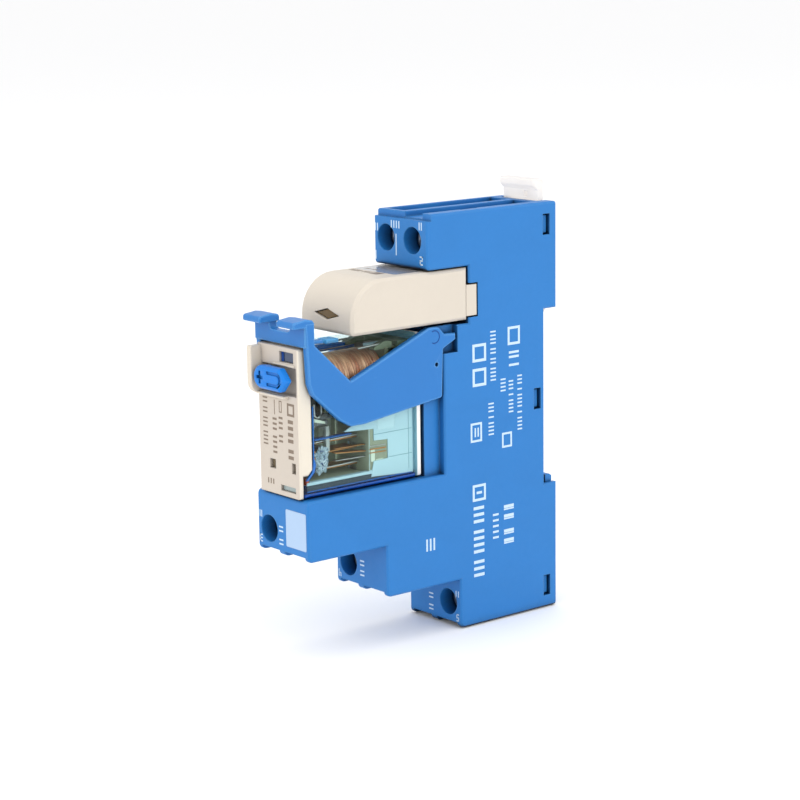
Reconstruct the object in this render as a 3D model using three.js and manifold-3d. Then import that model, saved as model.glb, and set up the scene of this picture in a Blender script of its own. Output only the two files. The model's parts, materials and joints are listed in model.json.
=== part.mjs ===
// Plug-in relay in a screw-terminal rail socket, with a coil module and a retaining clip.
// Millimetres. +Z up, -Y is the front (screws, test button), +Y is the back (rail).
// The origin is the middle of the rail seat: the plane that lies against a 35 mm rail.
import * as THREE from "three";
import { mergeVertices } from "three/addons/utils/BufferGeometryUtils.js";
import Module from "manifold-3d";

const wasm = await Module();
wasm.setup();

// ---- driving dimensions -------------------------------------------------
const W = 7.9; // half the width of the socket: 15.8 mm, one module pitch
const GAP = 0.3; // air between neighbouring pieces
const BACK = 3.27; // how far the feet reach behind the rail seat
const RAIL = 17.67; // half of the rail slot
const SEAT_LOW = -15.9; // raised face that the rail rests on
const SEAT_TOP = 15.9;
const TOP = 38.7; // top of the socket
const FLOOR = -43.1; // underside of the lowest block
const WALL = 1.2; // side wall of the socket

const TOP_FRONT = -29.95; // front of the upper terminal block
const TOP_UNDER = 28.15; // its underside
const MOD_FRONT = -19.6; // socket wall behind the coil module
const BAY_FRONT = -26.0; // socket wall behind the relay
const BLOCK_FRONT = -29.8; // raised block that the relay's blades go into
const BED = -11.6; // shelf below the relay
const B3_FRONT = -59.1; // front block
const B3_UNDER = -23.25;
const B4_FRONT = -40.6; // middle block
const B4_UNDER = -33.3;
const B5_FRONT = -22.25; // lowest block

// screw axes: x, z, face of the block, and the side that the wire comes from
const TERMINALS = [
  { id: "a1", x: -4.2, z: 33.5, face: TOP_FRONT, up: true, edge: TOP },
  { id: "a2", x: 3.6, z: 33.5, face: TOP_FRONT, up: true, edge: TOP },
  { id: "nc", x: -4.2, z: -18.7, face: B3_FRONT, up: false, edge: B3_UNDER },
  { id: "no", x: -4.1, z: -28.7, face: B4_FRONT, up: false, edge: B4_UNDER },
  { id: "com", x: 4.0, z: -38.4, face: B5_FRONT, up: false, edge: FLOOR },
];
const SCREW_HOLE_R = 2.6;
const HEAD_R = 2.3;
const SHANK_R = 1.5;
const CAGE = { x: 2.6, z: 2.5, front: 7.9, wall: 1.2, mouth: 5.5, rear: 0.9, side: 0.5 };
const CHAMBER = { x: 2.9, z: 3.1, from: 5.2, to: 15.8 };
const TONGUE = { from: 9.4, thick: 0.8, half: 1.7 };
const PORT = { half: 2.2, from: 10.25, to: 14.65 };

// relay blades, where they enter the socket
const PIN_END = -15.0;
const COIL_PIN = { x: 3.7, z: 12.2 };
const PIN_Z = { nc: 0.6, com: -4.4, no: -9.0 };
const MODULE_PIN_Z = 22.7;

// relay
const R = 6.2; // half the width of the relay
const RELAY_LOW = -11.3;
const RELAY_TOP = 16.5;
const COVER_FRONT = -59.5;
const CASE_FRONT = -56.1;
const CASE_BACK = -31.9;
const FLANGE_BACK = -30.7;
const COIL_Z = 9.0;
const COIL_R = 5.0;
const BUTTON = { x: -2.35, z: 10.75 };
const ARM_PIVOT = { y: -54.4, z: 2.4 };
const BLADE_ROOT = -42.8;
const CONTACT_Y = -54.2;

// module and clip
const MOD_LOW = 17.75;
const MOD_TOP = 27.85;
const MOD_Y = -48.1;
const CLIP_PIVOT = { y: -28.35, z: 15.56 };
const CHEEK_IN = 6.5;

// ---- helpers ------------------------------------------------------------
function solid(geometry) {
  const g = geometry.index ? geometry.toNonIndexed() : geometry.clone();
  g.deleteAttribute("normal");
  g.deleteAttribute("uv");
  const m = mergeVertices(g, 1e-4);
  return new wasm.Manifold(
    new wasm.Mesh({
      numProp: 3,
      vertProperties: new Float32Array(m.attributes.position.array),
      triVerts: new Uint32Array(m.index.array),
    }),
  );
}
function geometryOf(s) {
  const m = s.getMesh();
  const v = new Float32Array(m.numVert * 3);
  for (let i = 0; i < m.numVert; i++)
    v.set(m.vertProperties.subarray(i * m.numProp, i * m.numProp + 3), i * 3);
  const g = new THREE.BufferGeometry()
    .setAttribute("position", new THREE.BufferAttribute(v, 3))
    .setIndex(new THREE.BufferAttribute(new Uint32Array(m.triVerts), 1));
  g.computeVertexNormals();
  return g;
}
const join = (first, ...rest) => rest.reduce((a, b) => a.add(b), first);
const cut = (first, ...rest) => rest.reduce((a, b) => a.subtract(b), first);

function box(x0, x1, y0, y1, z0, z1) {
  return solid(
    new THREE.BoxGeometry(x1 - x0, y1 - y0, z1 - z0).translate(
      (x0 + x1) / 2,
      (y0 + y1) / 2,
      (z0 + z1) / 2,
    ),
  );
}
function cylY(x, z, r, y0, y1, n = 24) {
  return solid(
    new THREE.CylinderGeometry(r, r, y1 - y0, n).translate(x, (y0 + y1) / 2, z),
  );
}
function cylX(y, z, r, x0, x1, n = 20) {
  return solid(
    new THREE.CylinderGeometry(r, r, x1 - x0, n)
      .rotateZ(-Math.PI / 2)
      .translate((x0 + x1) / 2, y, z),
  );
}
// points of an outline with its corners rounded; each point is [a, b, radius]
function rounded(points, steps = 4) {
  const out = [];
  const n = points.length;
  points.forEach(([a, b, r = 0], i) => {
    if (!r) return out.push([a, b]);
    const p = new THREE.Vector2(a, b);
    const u = new THREE.Vector2(...points[(i + n - 1) % n].slice(0, 2)).sub(p).normalize();
    const v = new THREE.Vector2(...points[(i + 1) % n].slice(0, 2)).sub(p).normalize();
    const half = Math.acos(THREE.MathUtils.clamp(u.dot(v), -1, 1)) / 2;
    const t = r / Math.tan(half);
    const c = u.clone().add(v).normalize().multiplyScalar(r / Math.sin(half)).add(p);
    const s = u.clone().multiplyScalar(t).add(p).sub(c);
    const e = v.clone().multiplyScalar(t).add(p).sub(c);
    const a0 = Math.atan2(s.y, s.x);
    let da = Math.atan2(e.y, e.x) - a0;
    if (da > Math.PI) da -= 2 * Math.PI;
    if (da < -Math.PI) da += 2 * Math.PI;
    for (let k = 0; k <= steps; k++) {
      const w = a0 + (da * k) / steps;
      out.push([c.x + r * Math.cos(w), c.y + r * Math.sin(w)]);
    }
  });
  return out;
}
function extrude(points, depth, matrix, bevel = 0) {
  const shape = new THREE.Shape(points.map(([a, b]) => new THREE.Vector2(a, b)));
  const g = new THREE.ExtrudeGeometry(shape, {
    depth: depth - 2 * bevel,
    bevelEnabled: bevel > 0,
    bevelSize: bevel,
    bevelThickness: bevel,
    bevelOffset: -bevel,
    bevelSegments: 1,
    curveSegments: 8,
  });
  if (bevel) g.translate(0, 0, bevel);
  return solid(g.applyMatrix4(matrix));
}
const axes = (a, b, w) => new THREE.Matrix4().makeBasis(new THREE.Vector3(...a), new THREE.Vector3(...b), new THREE.Vector3(...w));
// an outline in (y, z), along x
const extX = (p, x0, x1, bevel) =>
  extrude(p, x1 - x0, axes([0, 1, 0], [0, 0, 1], [1, 0, 0]).setPosition(x0, 0, 0), bevel);
// an outline in (x, z), along y
const extY = (p, y0, y1, bevel) =>
  extrude(p, y1 - y0, axes([1, 0, 0], [0, 0, 1], [0, -1, 0]).setPosition(0, y1, 0), bevel);

const COLOURS = {
  socket_blue: [0x3f8bd8, 0.45, 0],
  clip_blue: [0x4893dd, 0.4, 0],
  button_blue: [0x4aa3f5, 0.35, 0],
  clear_blue: [0x7fc3dd, 0.15, 0],
  beige: [0xece4d8, 0.5, 0],
  lens: [0x5a3c16, 0.2, 0],
  natural: [0xecebea, 0.4, 0],
  case_clear: [0xbfe6ea, 0.1, 0],
  base_cyan: [0xbcecf0, 0.4, 0],
  brass: [0xc9a14a, 0.35, 1],
  zinc: [0xb9bcc0, 0.35, 1],
  iron: [0x8d9196, 0.4, 1],
  copper: [0xc48a63, 0.4, 1],
  silver: [0xd9dadb, 0.25, 1],
  spring: [0xb98a58, 0.3, 1],
  white: [0xf2f2ee, 0.5, 0],
  orange: [0xe0683a, 0.45, 0],
  pcb: [0x2f6b45, 0.5, 0],
  dark: [0x26282b, 0.5, 0],
};
const part = new THREE.Group();
part.name = "plug_in_relay";
function add(name, s, look) {
  const [color, roughness, metalness] = COLOURS[look];
  const mesh = new THREE.Mesh(
    geometryOf(s),
    new THREE.MeshStandardMaterial({ color, roughness, metalness }),
  );
  mesh.name = name;
  part.add(mesh);
  return s;
}

// ---- socket housing -----------------------------------------------------
{
  const outline = rounded([
    [BACK, TOP, 0.6],
    [TOP_FRONT, TOP, 0.8],
    [TOP_FRONT, TOP_UNDER, 0.8],
    [MOD_FRONT, TOP_UNDER],
    [MOD_FRONT, 17.1],
    [BAY_FRONT, 17.1],
    [BAY_FRONT, BED],
    [B3_FRONT, BED, 0.9],
    [B3_FRONT, B3_UNDER, 1.0],
    [B4_FRONT, B3_UNDER],
    [B4_FRONT, B4_UNDER, 1.0],
    [B5_FRONT, B4_UNDER],
    [B5_FRONT, FLOOR, 1.0],
    [BACK, FLOOR, 0.5],
    [BACK, -RAIL],
    [0, -RAIL],
    [0, RAIL],
    [BACK, RAIL],
  ]);
  let s = extX(outline, -W, W, 0.35);

  // rear pocket for the base, and the way out for the rail clip
  s = cut(
    s,
    box(-W + WALL, W - WALL, -3.4, BACK + 1, -42.0, 37.5),
    box(-5.3, 5.3, 0.45, BACK + 1, 17, TOP + 1),
  );
  // shallow wire guides along the top, and under each lower block
  s = cut(
    s,
    box(-W - 1, W + 1, TOP_FRONT - 1, TOP_FRONT + 1.1, TOP - 1.3, TOP + 1),
    box(0.3, 5.4, TOP_FRONT - 1, -1.2, TOP - 1.0, TOP + 1),
    box(-6.6, -1.3, TOP_FRONT + 2.2, -1.2, TOP - 1.0, TOP + 1),
  );
  for (const [face, under, to] of [
    [B3_FRONT, B3_UNDER, B4_FRONT - 1.5],
    [B4_FRONT, B4_UNDER, B5_FRONT - 1.5],
    [B5_FRONT, FLOOR, -1.0],
  ])
    s = cut(
      s,
      box(-6.7, -1.2, face - 1, to, under - 1, under + 0.9),
      box(0.4, 6.7, face - 1, to, under - 1, under + 0.9),
    );

  // terminal chambers, screw holes and wire ports
  for (const t of TERMINALS) {
    s = cut(
      s,
      cylY(t.x, t.z, SCREW_HOLE_R, t.face - 1, t.face + CHAMBER.from + 0.5, 28),
      box(
        t.x - CHAMBER.x, t.x + CHAMBER.x,
        t.face + CHAMBER.from, t.face + CHAMBER.to,
        t.z - CHAMBER.z, t.z + CHAMBER.z,
      ),
      box(
        t.x - PORT.half, t.x + PORT.half,
        t.face + PORT.from, t.face + PORT.to,
        t.up ? t.z : t.edge - 1, t.up ? t.edge + 1 : t.z,
      ),
    );
  }

  // raised block behind the relay, between the cheeks of the clip
  s = join(s, box(-6.2, 6.2, BLOCK_FRONT, BAY_FRONT + 0.5, BED - 0.5, 14.0));

  // slots for the contacts, open to the rear pocket
  const c = 0.25;
  const slot = (x0, x1, y0, y1, z0, z1) =>
    (s = cut(s, box(x0 - c, x1 + c, y0 - c, y1 + c, z0 - c, z1 + c)));
  for (const [k, tx] of [[-1, -4.2], [1, 3.6]]) {
    const x = k * COIL_PIN.x;
    slot(x - 1.05, x + 1.05, -24.2, -3.4, 11.0, 13.4);
    slot(x - 1.05, x + 1.05, -18.0, -3.4, 21.5, 23.9);
    slot(x - 0.4, x + 0.4, -14.4, -3.4, 11, 29.9);
    slot(tx - 1.7, tx + 1.7, -20.55, -3.4, 29.2, 29.9);
    slot(tx - 1.7, tx + 1.7, -20.55, -19.75, 29.2, 31);
    // mouths for the relay blades and the module blades
    s = cut(
      s,
      box(x - 0.6, x + 0.6, BLOCK_FRONT - 1, -24, 10.7, 13.7),
      box(x - 0.6, x + 0.6, MOD_FRONT - 1, -17.8, 21.2, 24.2),
    );
  }
  slot(-3.0, 1.5, -24.2, -3.4, PIN_Z.nc - 1.05, PIN_Z.nc + 1.05);
  slot(-1.5, 3.0, -24.2, -3.4, PIN_Z.com - 1.05, PIN_Z.com + 1.05);
  slot(-1.5, 1.5, -24.2, -3.4, PIN_Z.no - 1.05, PIN_Z.no + 1.05);
  for (const z of Object.values(PIN_Z))
    s = cut(s, box(-1.5, 1.5, BLOCK_FRONT - 1, -24, z - 0.6, z + 0.6));
  slot(-3.0, -2.2, -14.4, -3.4, -13.9, 1);
  slot(-5.9, -2.2, -49.7, -3.4, -13.9, -13.1);
  slot(-5.9, -2.5, -49.7, -48.9, -17, -13.1);
  slot(-0.4, 0.4, -14.4, -3.4, -24.9, -8);
  slot(-5.8, 0.4, -31.2, -3.4, -24.9, -24.1);
  slot(-5.8, -2.4, -31.2, -30.4, -27, -24.1);
  slot(2.2, 3.0, -14.4, -3.4, -34.9, -4);
  slot(2.2, 5.7, -14.4, -3.4, -34.9, -34.1);
  slot(2.3, 5.7, -12.85, -12.05, -37, -34.1);

  // seat for the tab of the coil module
  s = cut(s, box(-W - 1, W + 1, MOD_FRONT - 1, -17.4, 18.2, 24.8));
  // side recesses for the tails of the retaining clip
  for (const k of [-1, 1])
    s = cut(
      s,
      box(Math.min(k * 6.3, k * 9), Math.max(k * 6.3, k * 9), BAY_FRONT - 1, -22.6, 11.9, 17.6),
    );
  // two lugs that carry the pivots of the retaining clip
  for (const k of [-1, 1]) {
    const [x0, x1] = [Math.min(k * 4.9, k * 6.25), Math.max(k * 4.9, k * 6.25)];
    s = join(
      s,
      extX(
        rounded([
          [-24, 17.1],
          [-30.1, 17.1, 1.4],
          [-30.1, 13.9, 1.2],
          [-24, 12.5],
        ]),
        x0,
        x1,
      ),
    );
    s = cut(s, cylX(CLIP_PIVOT.y, CLIP_PIVOT.z, 1.15, x0 - 0.2, x1 + 0.2));
  }
  // windows for the snap tabs of the base
  for (const [y0, y1, z0, z1] of [
    [-0.45, 1.35, 32.3, 36.4],
    [-2.9, -1.1, -2.1, 2.1],
    [-0.35, 1.4, -40.7, -36.5],
  ])
    s = cut(s, box(-W - 1, W + 1, y0, y1, z0, z1));
  // screwdriver notch at the relay shelf
  s = cut(s, box(-1.6, 1.6, BLOCK_FRONT - 0.1, BLOCK_FRONT + 0.7, BED + 0.2, BED + 1.4));
  add("socket_housing", s, "socket_blue");
}

// ---- rear base with the rail seat and the fixed hook -----------------------
{
  const X = W - WALL - 0.2;
  let s = join(
    box(-X, X, -3.2, -0.95, -41.8, 37.3),
    box(-X, X, -1.5, -0.15, -17.5, 17.2),
    box(-X, X, -1.5, 0, SEAT_LOW, SEAT_TOP), // raised seat, clear of both hooks
    box(-X, X, -1.5, 3.1, -41.8, -17.9),
    box(-X, X, -1.5, 0.4, 17.9, 37.3),
    box(-X, -5.4, -1.5, 3.1, 17.9, 37.3),
    box(5.4, X, -1.5, 3.1, 17.9, 37.3),
    extX([[3.1, -18.2], [3.1, -16.6], [2.6, -16.2], [1.35, -16.2], [1.35, -17.9], [0.6, -18.2]], -X, X),
  );
  // ribs that stiffen the lower foot are left by two pockets
  s = cut(s, box(-5.0, -0.6, 0.4, 4, -40.4, -20), box(0.6, 5.0, 0.4, 4, -40.4, -20));
  for (const k of [-1, 1])
    for (const [y0, y1, z0, z1] of [
      [-0.2, 1.1, 32.6, 36.1],
      [-2.6, -1.4, -1.8, 1.8],
      [-0.1, 1.15, -40.4, -36.8],
    ])
      s = join(s, box(Math.min(k * 6.3, k * 7.2), Math.max(k * 6.3, k * 7.2), y0, y1, z0, z1));
  add("rear_base", s, "socket_blue");
}

// ---- sliding rail clip -------------------------------------------------------
{
  let s = extX(
    rounded([
      [2.45, 42.9, 0.4],
      [-0.2, 42.9, 0.4],
      [-0.2, 41.6, 0.3],
      [0.75, 40.7],
      [0.75, 17.95],
      [1.35, 17.95],
      [1.35, 16.3],
      [2.5, 16.3],
      [3.0, 16.9],
      [3.0, 20.0],
      [2.45, 20.7],
    ]),
    -5.0,
    5.0,
    0.2,
  );
  s = cut(
    s,
    box(1.1, 2.0, -2, 4, 39.3, 40.4),
    // the cut that leaves a flexible spring arm
    box(-3.2, 3.2, -2, 4, 24.0, 25.0),
    box(-3.2, -2.2, -2, 4, 24.9, 34.0),
    box(2.2, 3.2, -2, 4, 24.9, 34.0),
  );
  add("rail_clip", s, "natural");
}

// ---- terminals ---------------------------------------------------------------
for (const t of TERMINALS) {
  const y = (d) => t.face + d;
  // slotted screw with a cross recess
  let screw = join(
    solid(
      new THREE.LatheGeometry(
        [
          [0, -3.0], [HEAD_R - 0.35, -3.0], [HEAD_R, -3.35], [HEAD_R, -4.9],
          [SHANK_R, -4.9], [SHANK_R, -9.0], [SHANK_R - 0.4, -9.25], [0, -9.25],
        ].map(([r, d]) => new THREE.Vector2(r, d)).reverse(),
        20,
      ).translate(t.x, 0, t.z),
    ),
  );
  screw = screw.mirror([0, 1, 0]).translate([0, t.face, 0]);
  screw = cut(
    screw,
    box(t.x - 0.35, t.x + 0.35, y(2), y(3.9), t.z - 3, t.z + 3),
    box(t.x - 1.3, t.x + 1.3, y(2), y(3.9), t.z - 0.35, t.z + 0.35),
  );
  add("terminal_screw_" + t.id, screw, "zinc");

  const c0 = y(CAGE.front);
  const c1 = c0 + CAGE.wall + CAGE.mouth + CAGE.rear;
  let cage = extY(
    rounded([
      [t.x - CAGE.x, t.z - CAGE.z, 0.3],
      [t.x + CAGE.x, t.z - CAGE.z, 0.3],
      [t.x + CAGE.x, t.z + CAGE.z, 0.3],
      [t.x - CAGE.x, t.z + CAGE.z, 0.3],
    ], 1),
    c0,
    c1,
  );
  cage = cut(
    cage,
    box(
      t.x - CAGE.x + CAGE.side, t.x + CAGE.x - CAGE.side,
      c0 + CAGE.wall, c0 + CAGE.wall + CAGE.mouth,
      t.z - 5, t.z + 5,
    ),
    cylY(t.x, t.z, SHANK_R + 0.15, c0 - 1, c0 + CAGE.wall + 0.5, 20),
  );
  add("clamp_cage_" + t.id, cage, "zinc");
}
for (const [id, k, t] of [["a1", -1, TERMINALS[0]], ["a2", 1, TERMINALS[1]]]) {
  const x = k * COIL_PIN.x;
  const fork = (z0, z1, y0) => [
    box(x - 1.05, x - 0.35, y0, -13.4, z0, z1),
    box(x + 0.35, x + 1.05, y0, -13.4, z0, z1),
    box(x - 1.05, x + 1.05, -14.3, -13.4, z0, z1),
  ];
  const tongue = t.face + TONGUE.from;
  add(
    "terminal_contact_" + id,
    join(
      box(x - 0.4, x + 0.4, -14.3, -11.4, 11.0, 29.9),
      ...fork(11.0, 13.4, -24.2),
      ...fork(21.5, 23.9, -17.1),
      box(t.x - 1.7, t.x + 1.7, tongue, -11.4, 29.2, 29.9),
      box(t.x - TONGUE.half, t.x + TONGUE.half, tongue, tongue + TONGUE.thick, 29.2, 35.6),
    ),
    "brass",
  );
}
for (const [id, spine, fork0, fork1, runner, tIndex, low] of [
  ["nc", -2.6, -3.0, 1.5, -13.1, 2, -20.8],
  ["no", 0, -1.5, 1.5, -24.1, 3, -30.8],
  ["com", 2.6, -1.5, 3.0, -34.1, 4, -40.5],
]) {
  const t = TERMINALS[tIndex];
  const z = PIN_Z[id];
  const tongue = t.face + TONGUE.from;
  const x0 = Math.min(t.x - TONGUE.half, spine - 0.4);
  const x1 = Math.max(t.x + TONGUE.half, spine + 0.4);
  add(
    "terminal_contact_" + id,
    join(
      box(fork0, fork1, -24.2, -13.6, z + 0.35, z + 1.05),
      box(fork0, fork1, -24.2, -13.6, z - 1.05, z - 0.35),
      box(fork0, fork1, -14.3, -13.4, z - 1.05, z + 1.05),
      box(spine - 0.4, spine + 0.4, -14.3, -11.4, runner - 0.8, z + 1.05),
      box(x0, x1, Math.min(tongue, -14.3), -11.4, runner - 0.8, runner),
      box(t.x - TONGUE.half, t.x + TONGUE.half, tongue, tongue + TONGUE.thick, low, runner),
    ),
    "brass",
  );
}

// ---- retaining clip --------------------------------------------------------------
{
  const cheek = rounded([
    [-58.7, 21.4],
    [-56.6, 21.4],
    [-56.6, 17.2, 0.6],
    [-55.8, 16.45, 0.4],
    [-48.5, 9.6, 0.3],
    [-29.6, 17.32, 0.8],
    [-27.3, 17.32, 1.2],
    [-25.8, 15.7, 0.5],
    [-23.05, 15.6],
    [-23.05, 14.4],
    [-26.15, 12.95, 0.3],
    [-26.45, 3.6, 0.6],
    [-45.3, 1.1, 0],
    [-48.6, 1.1, 0],
    [-51.2, 2.6, 0],
    [-57.3, 8.1, 0.9],
    [-58.1, 10.2, 0.8],
  ], 4);
  let s = null;
  for (const k of [-1, 1]) {
    const [x0, x1] = [Math.min(k * CHEEK_IN, k * W), Math.max(k * CHEEK_IN, k * W)];
    let c = extX(cheek, x0, x1, 0.2);
    c = cut(c, cylX(-27.86, 10.1, 0.42, x0 - 1, x1 + 1, 12));
    c = join(c, cylX(CLIP_PIVOT.y, CLIP_PIVOT.z, 0.95, k > 0 ? 5.1 : -6.7, k > 0 ? 6.7 : -5.1));
    s = s ? s.add(c) : c;
  }
  // bridge over the relay, with its saddle, and the two finger tabs
  s = join(
    s,
    extY(
      rounded([
        [-W + 0.25, 16.95, 0.3], [W - 0.25, 16.95, 0.3], [W - 0.25, 21.2], [3.2, 21.2, 0.3], [3.2, 19.3, 0.9],
        [-3.2, 19.3, 0.9], [-3.2, 21.2, 0.3], [-W + 0.25, 21.2],
      ]),
      -58.75,
      -57.0,
    ),
  );
  for (const k of [-1, 1])
    s = join(
      s,
      extX(
        rounded([
          [-61.4, 20.6, 0.35], [-56.7, 20.6, 0], [-56.7, 21.9, 0.7], [-58.6, 22.15, 0], [-61.4, 21.8, 0.55],
        ]),
        k > 0 ? 2.6 : -W + 0.05,
        k > 0 ? W - 0.05 : -2.6,
        0.18,
      ),
    );
  // the arm that carries the catch; both pass below the coil module
  s = join(
    s,
    extX([[-57.6, 17.3], [-56.35, 17.05], [-52.9, 16.95], [-52.9, 17.55], [-56.35, 17.6], [-56.35, 19.4], [-57.6, 19.6]], 4.0, 5.4),
  );
  add("retaining_clip", s, "clip_blue");
  add(
    "clip_catch",
    extX(rounded([[-52.6, 16.8, 0.2], [-49.7, 16.8, 0.2], [-49.7, 17.6, 0.25], [-52.6, 17.6, 0.25]]), 3.2, 6.0, 0.15),
    "clear_blue",
  );
}

// ---- coil module -----------------------------------------------------------------
{
  const outer = rounded([
    [-19.9, MOD_LOW], [-19.9, MOD_TOP], [MOD_Y, MOD_TOP, 7.4], [MOD_Y, MOD_LOW, 0.9],
  ], 8);
  const inner = rounded([
    [-15, MOD_LOW + 1.1], [-15, MOD_TOP - 1.1], [MOD_Y + 1.2, MOD_TOP - 1.1, 6.2], [MOD_Y + 1.2, MOD_LOW + 1.1],
  ], 6);
  const diamond = (m) => [[-3.6 + m, 21.2], [0.2, 20.15 + m * 0.4], [4.0 - m, 21.2], [0.2, 22.25 - m * 0.4]];
  let s = extX(outer, -W, W, 0.6);
  s = cut(s, extX(inner, -W + 1.1, W - 1.1), extY(diamond(0), MOD_Y - 1, MOD_Y + 2));
  // both side walls run on into the flanks of the plug-in tab
  for (const k of [-1, 1])
    s = join(s, box(Math.min(k * 6.8, k * W), Math.max(k * 6.8, k * W), -20.3, -17.7, 18.5, 24.5));
  add("module_housing", s, "beige");
  add("module_lens", extY(diamond(0.45), MOD_Y + 0.45, MOD_Y + 1.1), "lens");
  let b = join(
    box(-6.5, 6.5, -19.75, -17.7, 19.2, 24.3),
    box(-6.5, 6.5, -21.4, -19.7, 19.2, 26.4),
  );
  for (const k of [-1, 1])
    b = cut(b, box(k * COIL_PIN.x - 0.45, k * COIL_PIN.x + 0.45, -23, -16, 21.3, 24.1));
  add("module_base", b, "beige");
  add("module_board", box(-6.0, 6.0, -45.2, -22.0, 19.9, 21.1), "pcb");
  for (const [id, k] of [["a1", -1], ["a2", 1]])
    add(
      "module_pin_" + id,
      join(
        box(k * COIL_PIN.x - 0.25, k * COIL_PIN.x + 0.25, -23.6, -14.9, 21.5, 23.9),
      ),
      "silver",
    );
  add(
    "module_led",
    join(
      cylY(0.2, 22.75, 1.5, -44.3, -40.0, 16),
      solid(new THREE.SphereGeometry(1.5, 16, 8).translate(0.2, -44.2, 22.75)),
      cylY(0.2, 22.75, 1.65, -40.8, -40.0, 16),
    ),
    "orange",
  );
  add(
    "module_diode",
    join(
      cylY(-3.4, 23.0, 1.35, -38.2, -33.0, 14),
      cylY(-3.4, 23.0, 0.4, -40.2, -31.0, 8),
      box(-3.7, -3.1, -40.5, -39.9, 21.25, 23.3),
      box(-3.7, -3.1, -31.3, -30.7, 21.25, 23.3),
    ),
    "dark",
  );
  add(
    "module_resistor",
    join(
      cylY(3.4, 23.0, 1.2, -38.6, -32.6, 14),
      cylY(3.4, 23.0, 0.35, -40.2, -31.0, 8),
      box(3.1, 3.7, -40.5, -39.9, 21.25, 23.3),
      box(3.1, 3.7, -31.3, -30.7, 21.25, 23.3),
    ),
    "white",
  );
}

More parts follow.
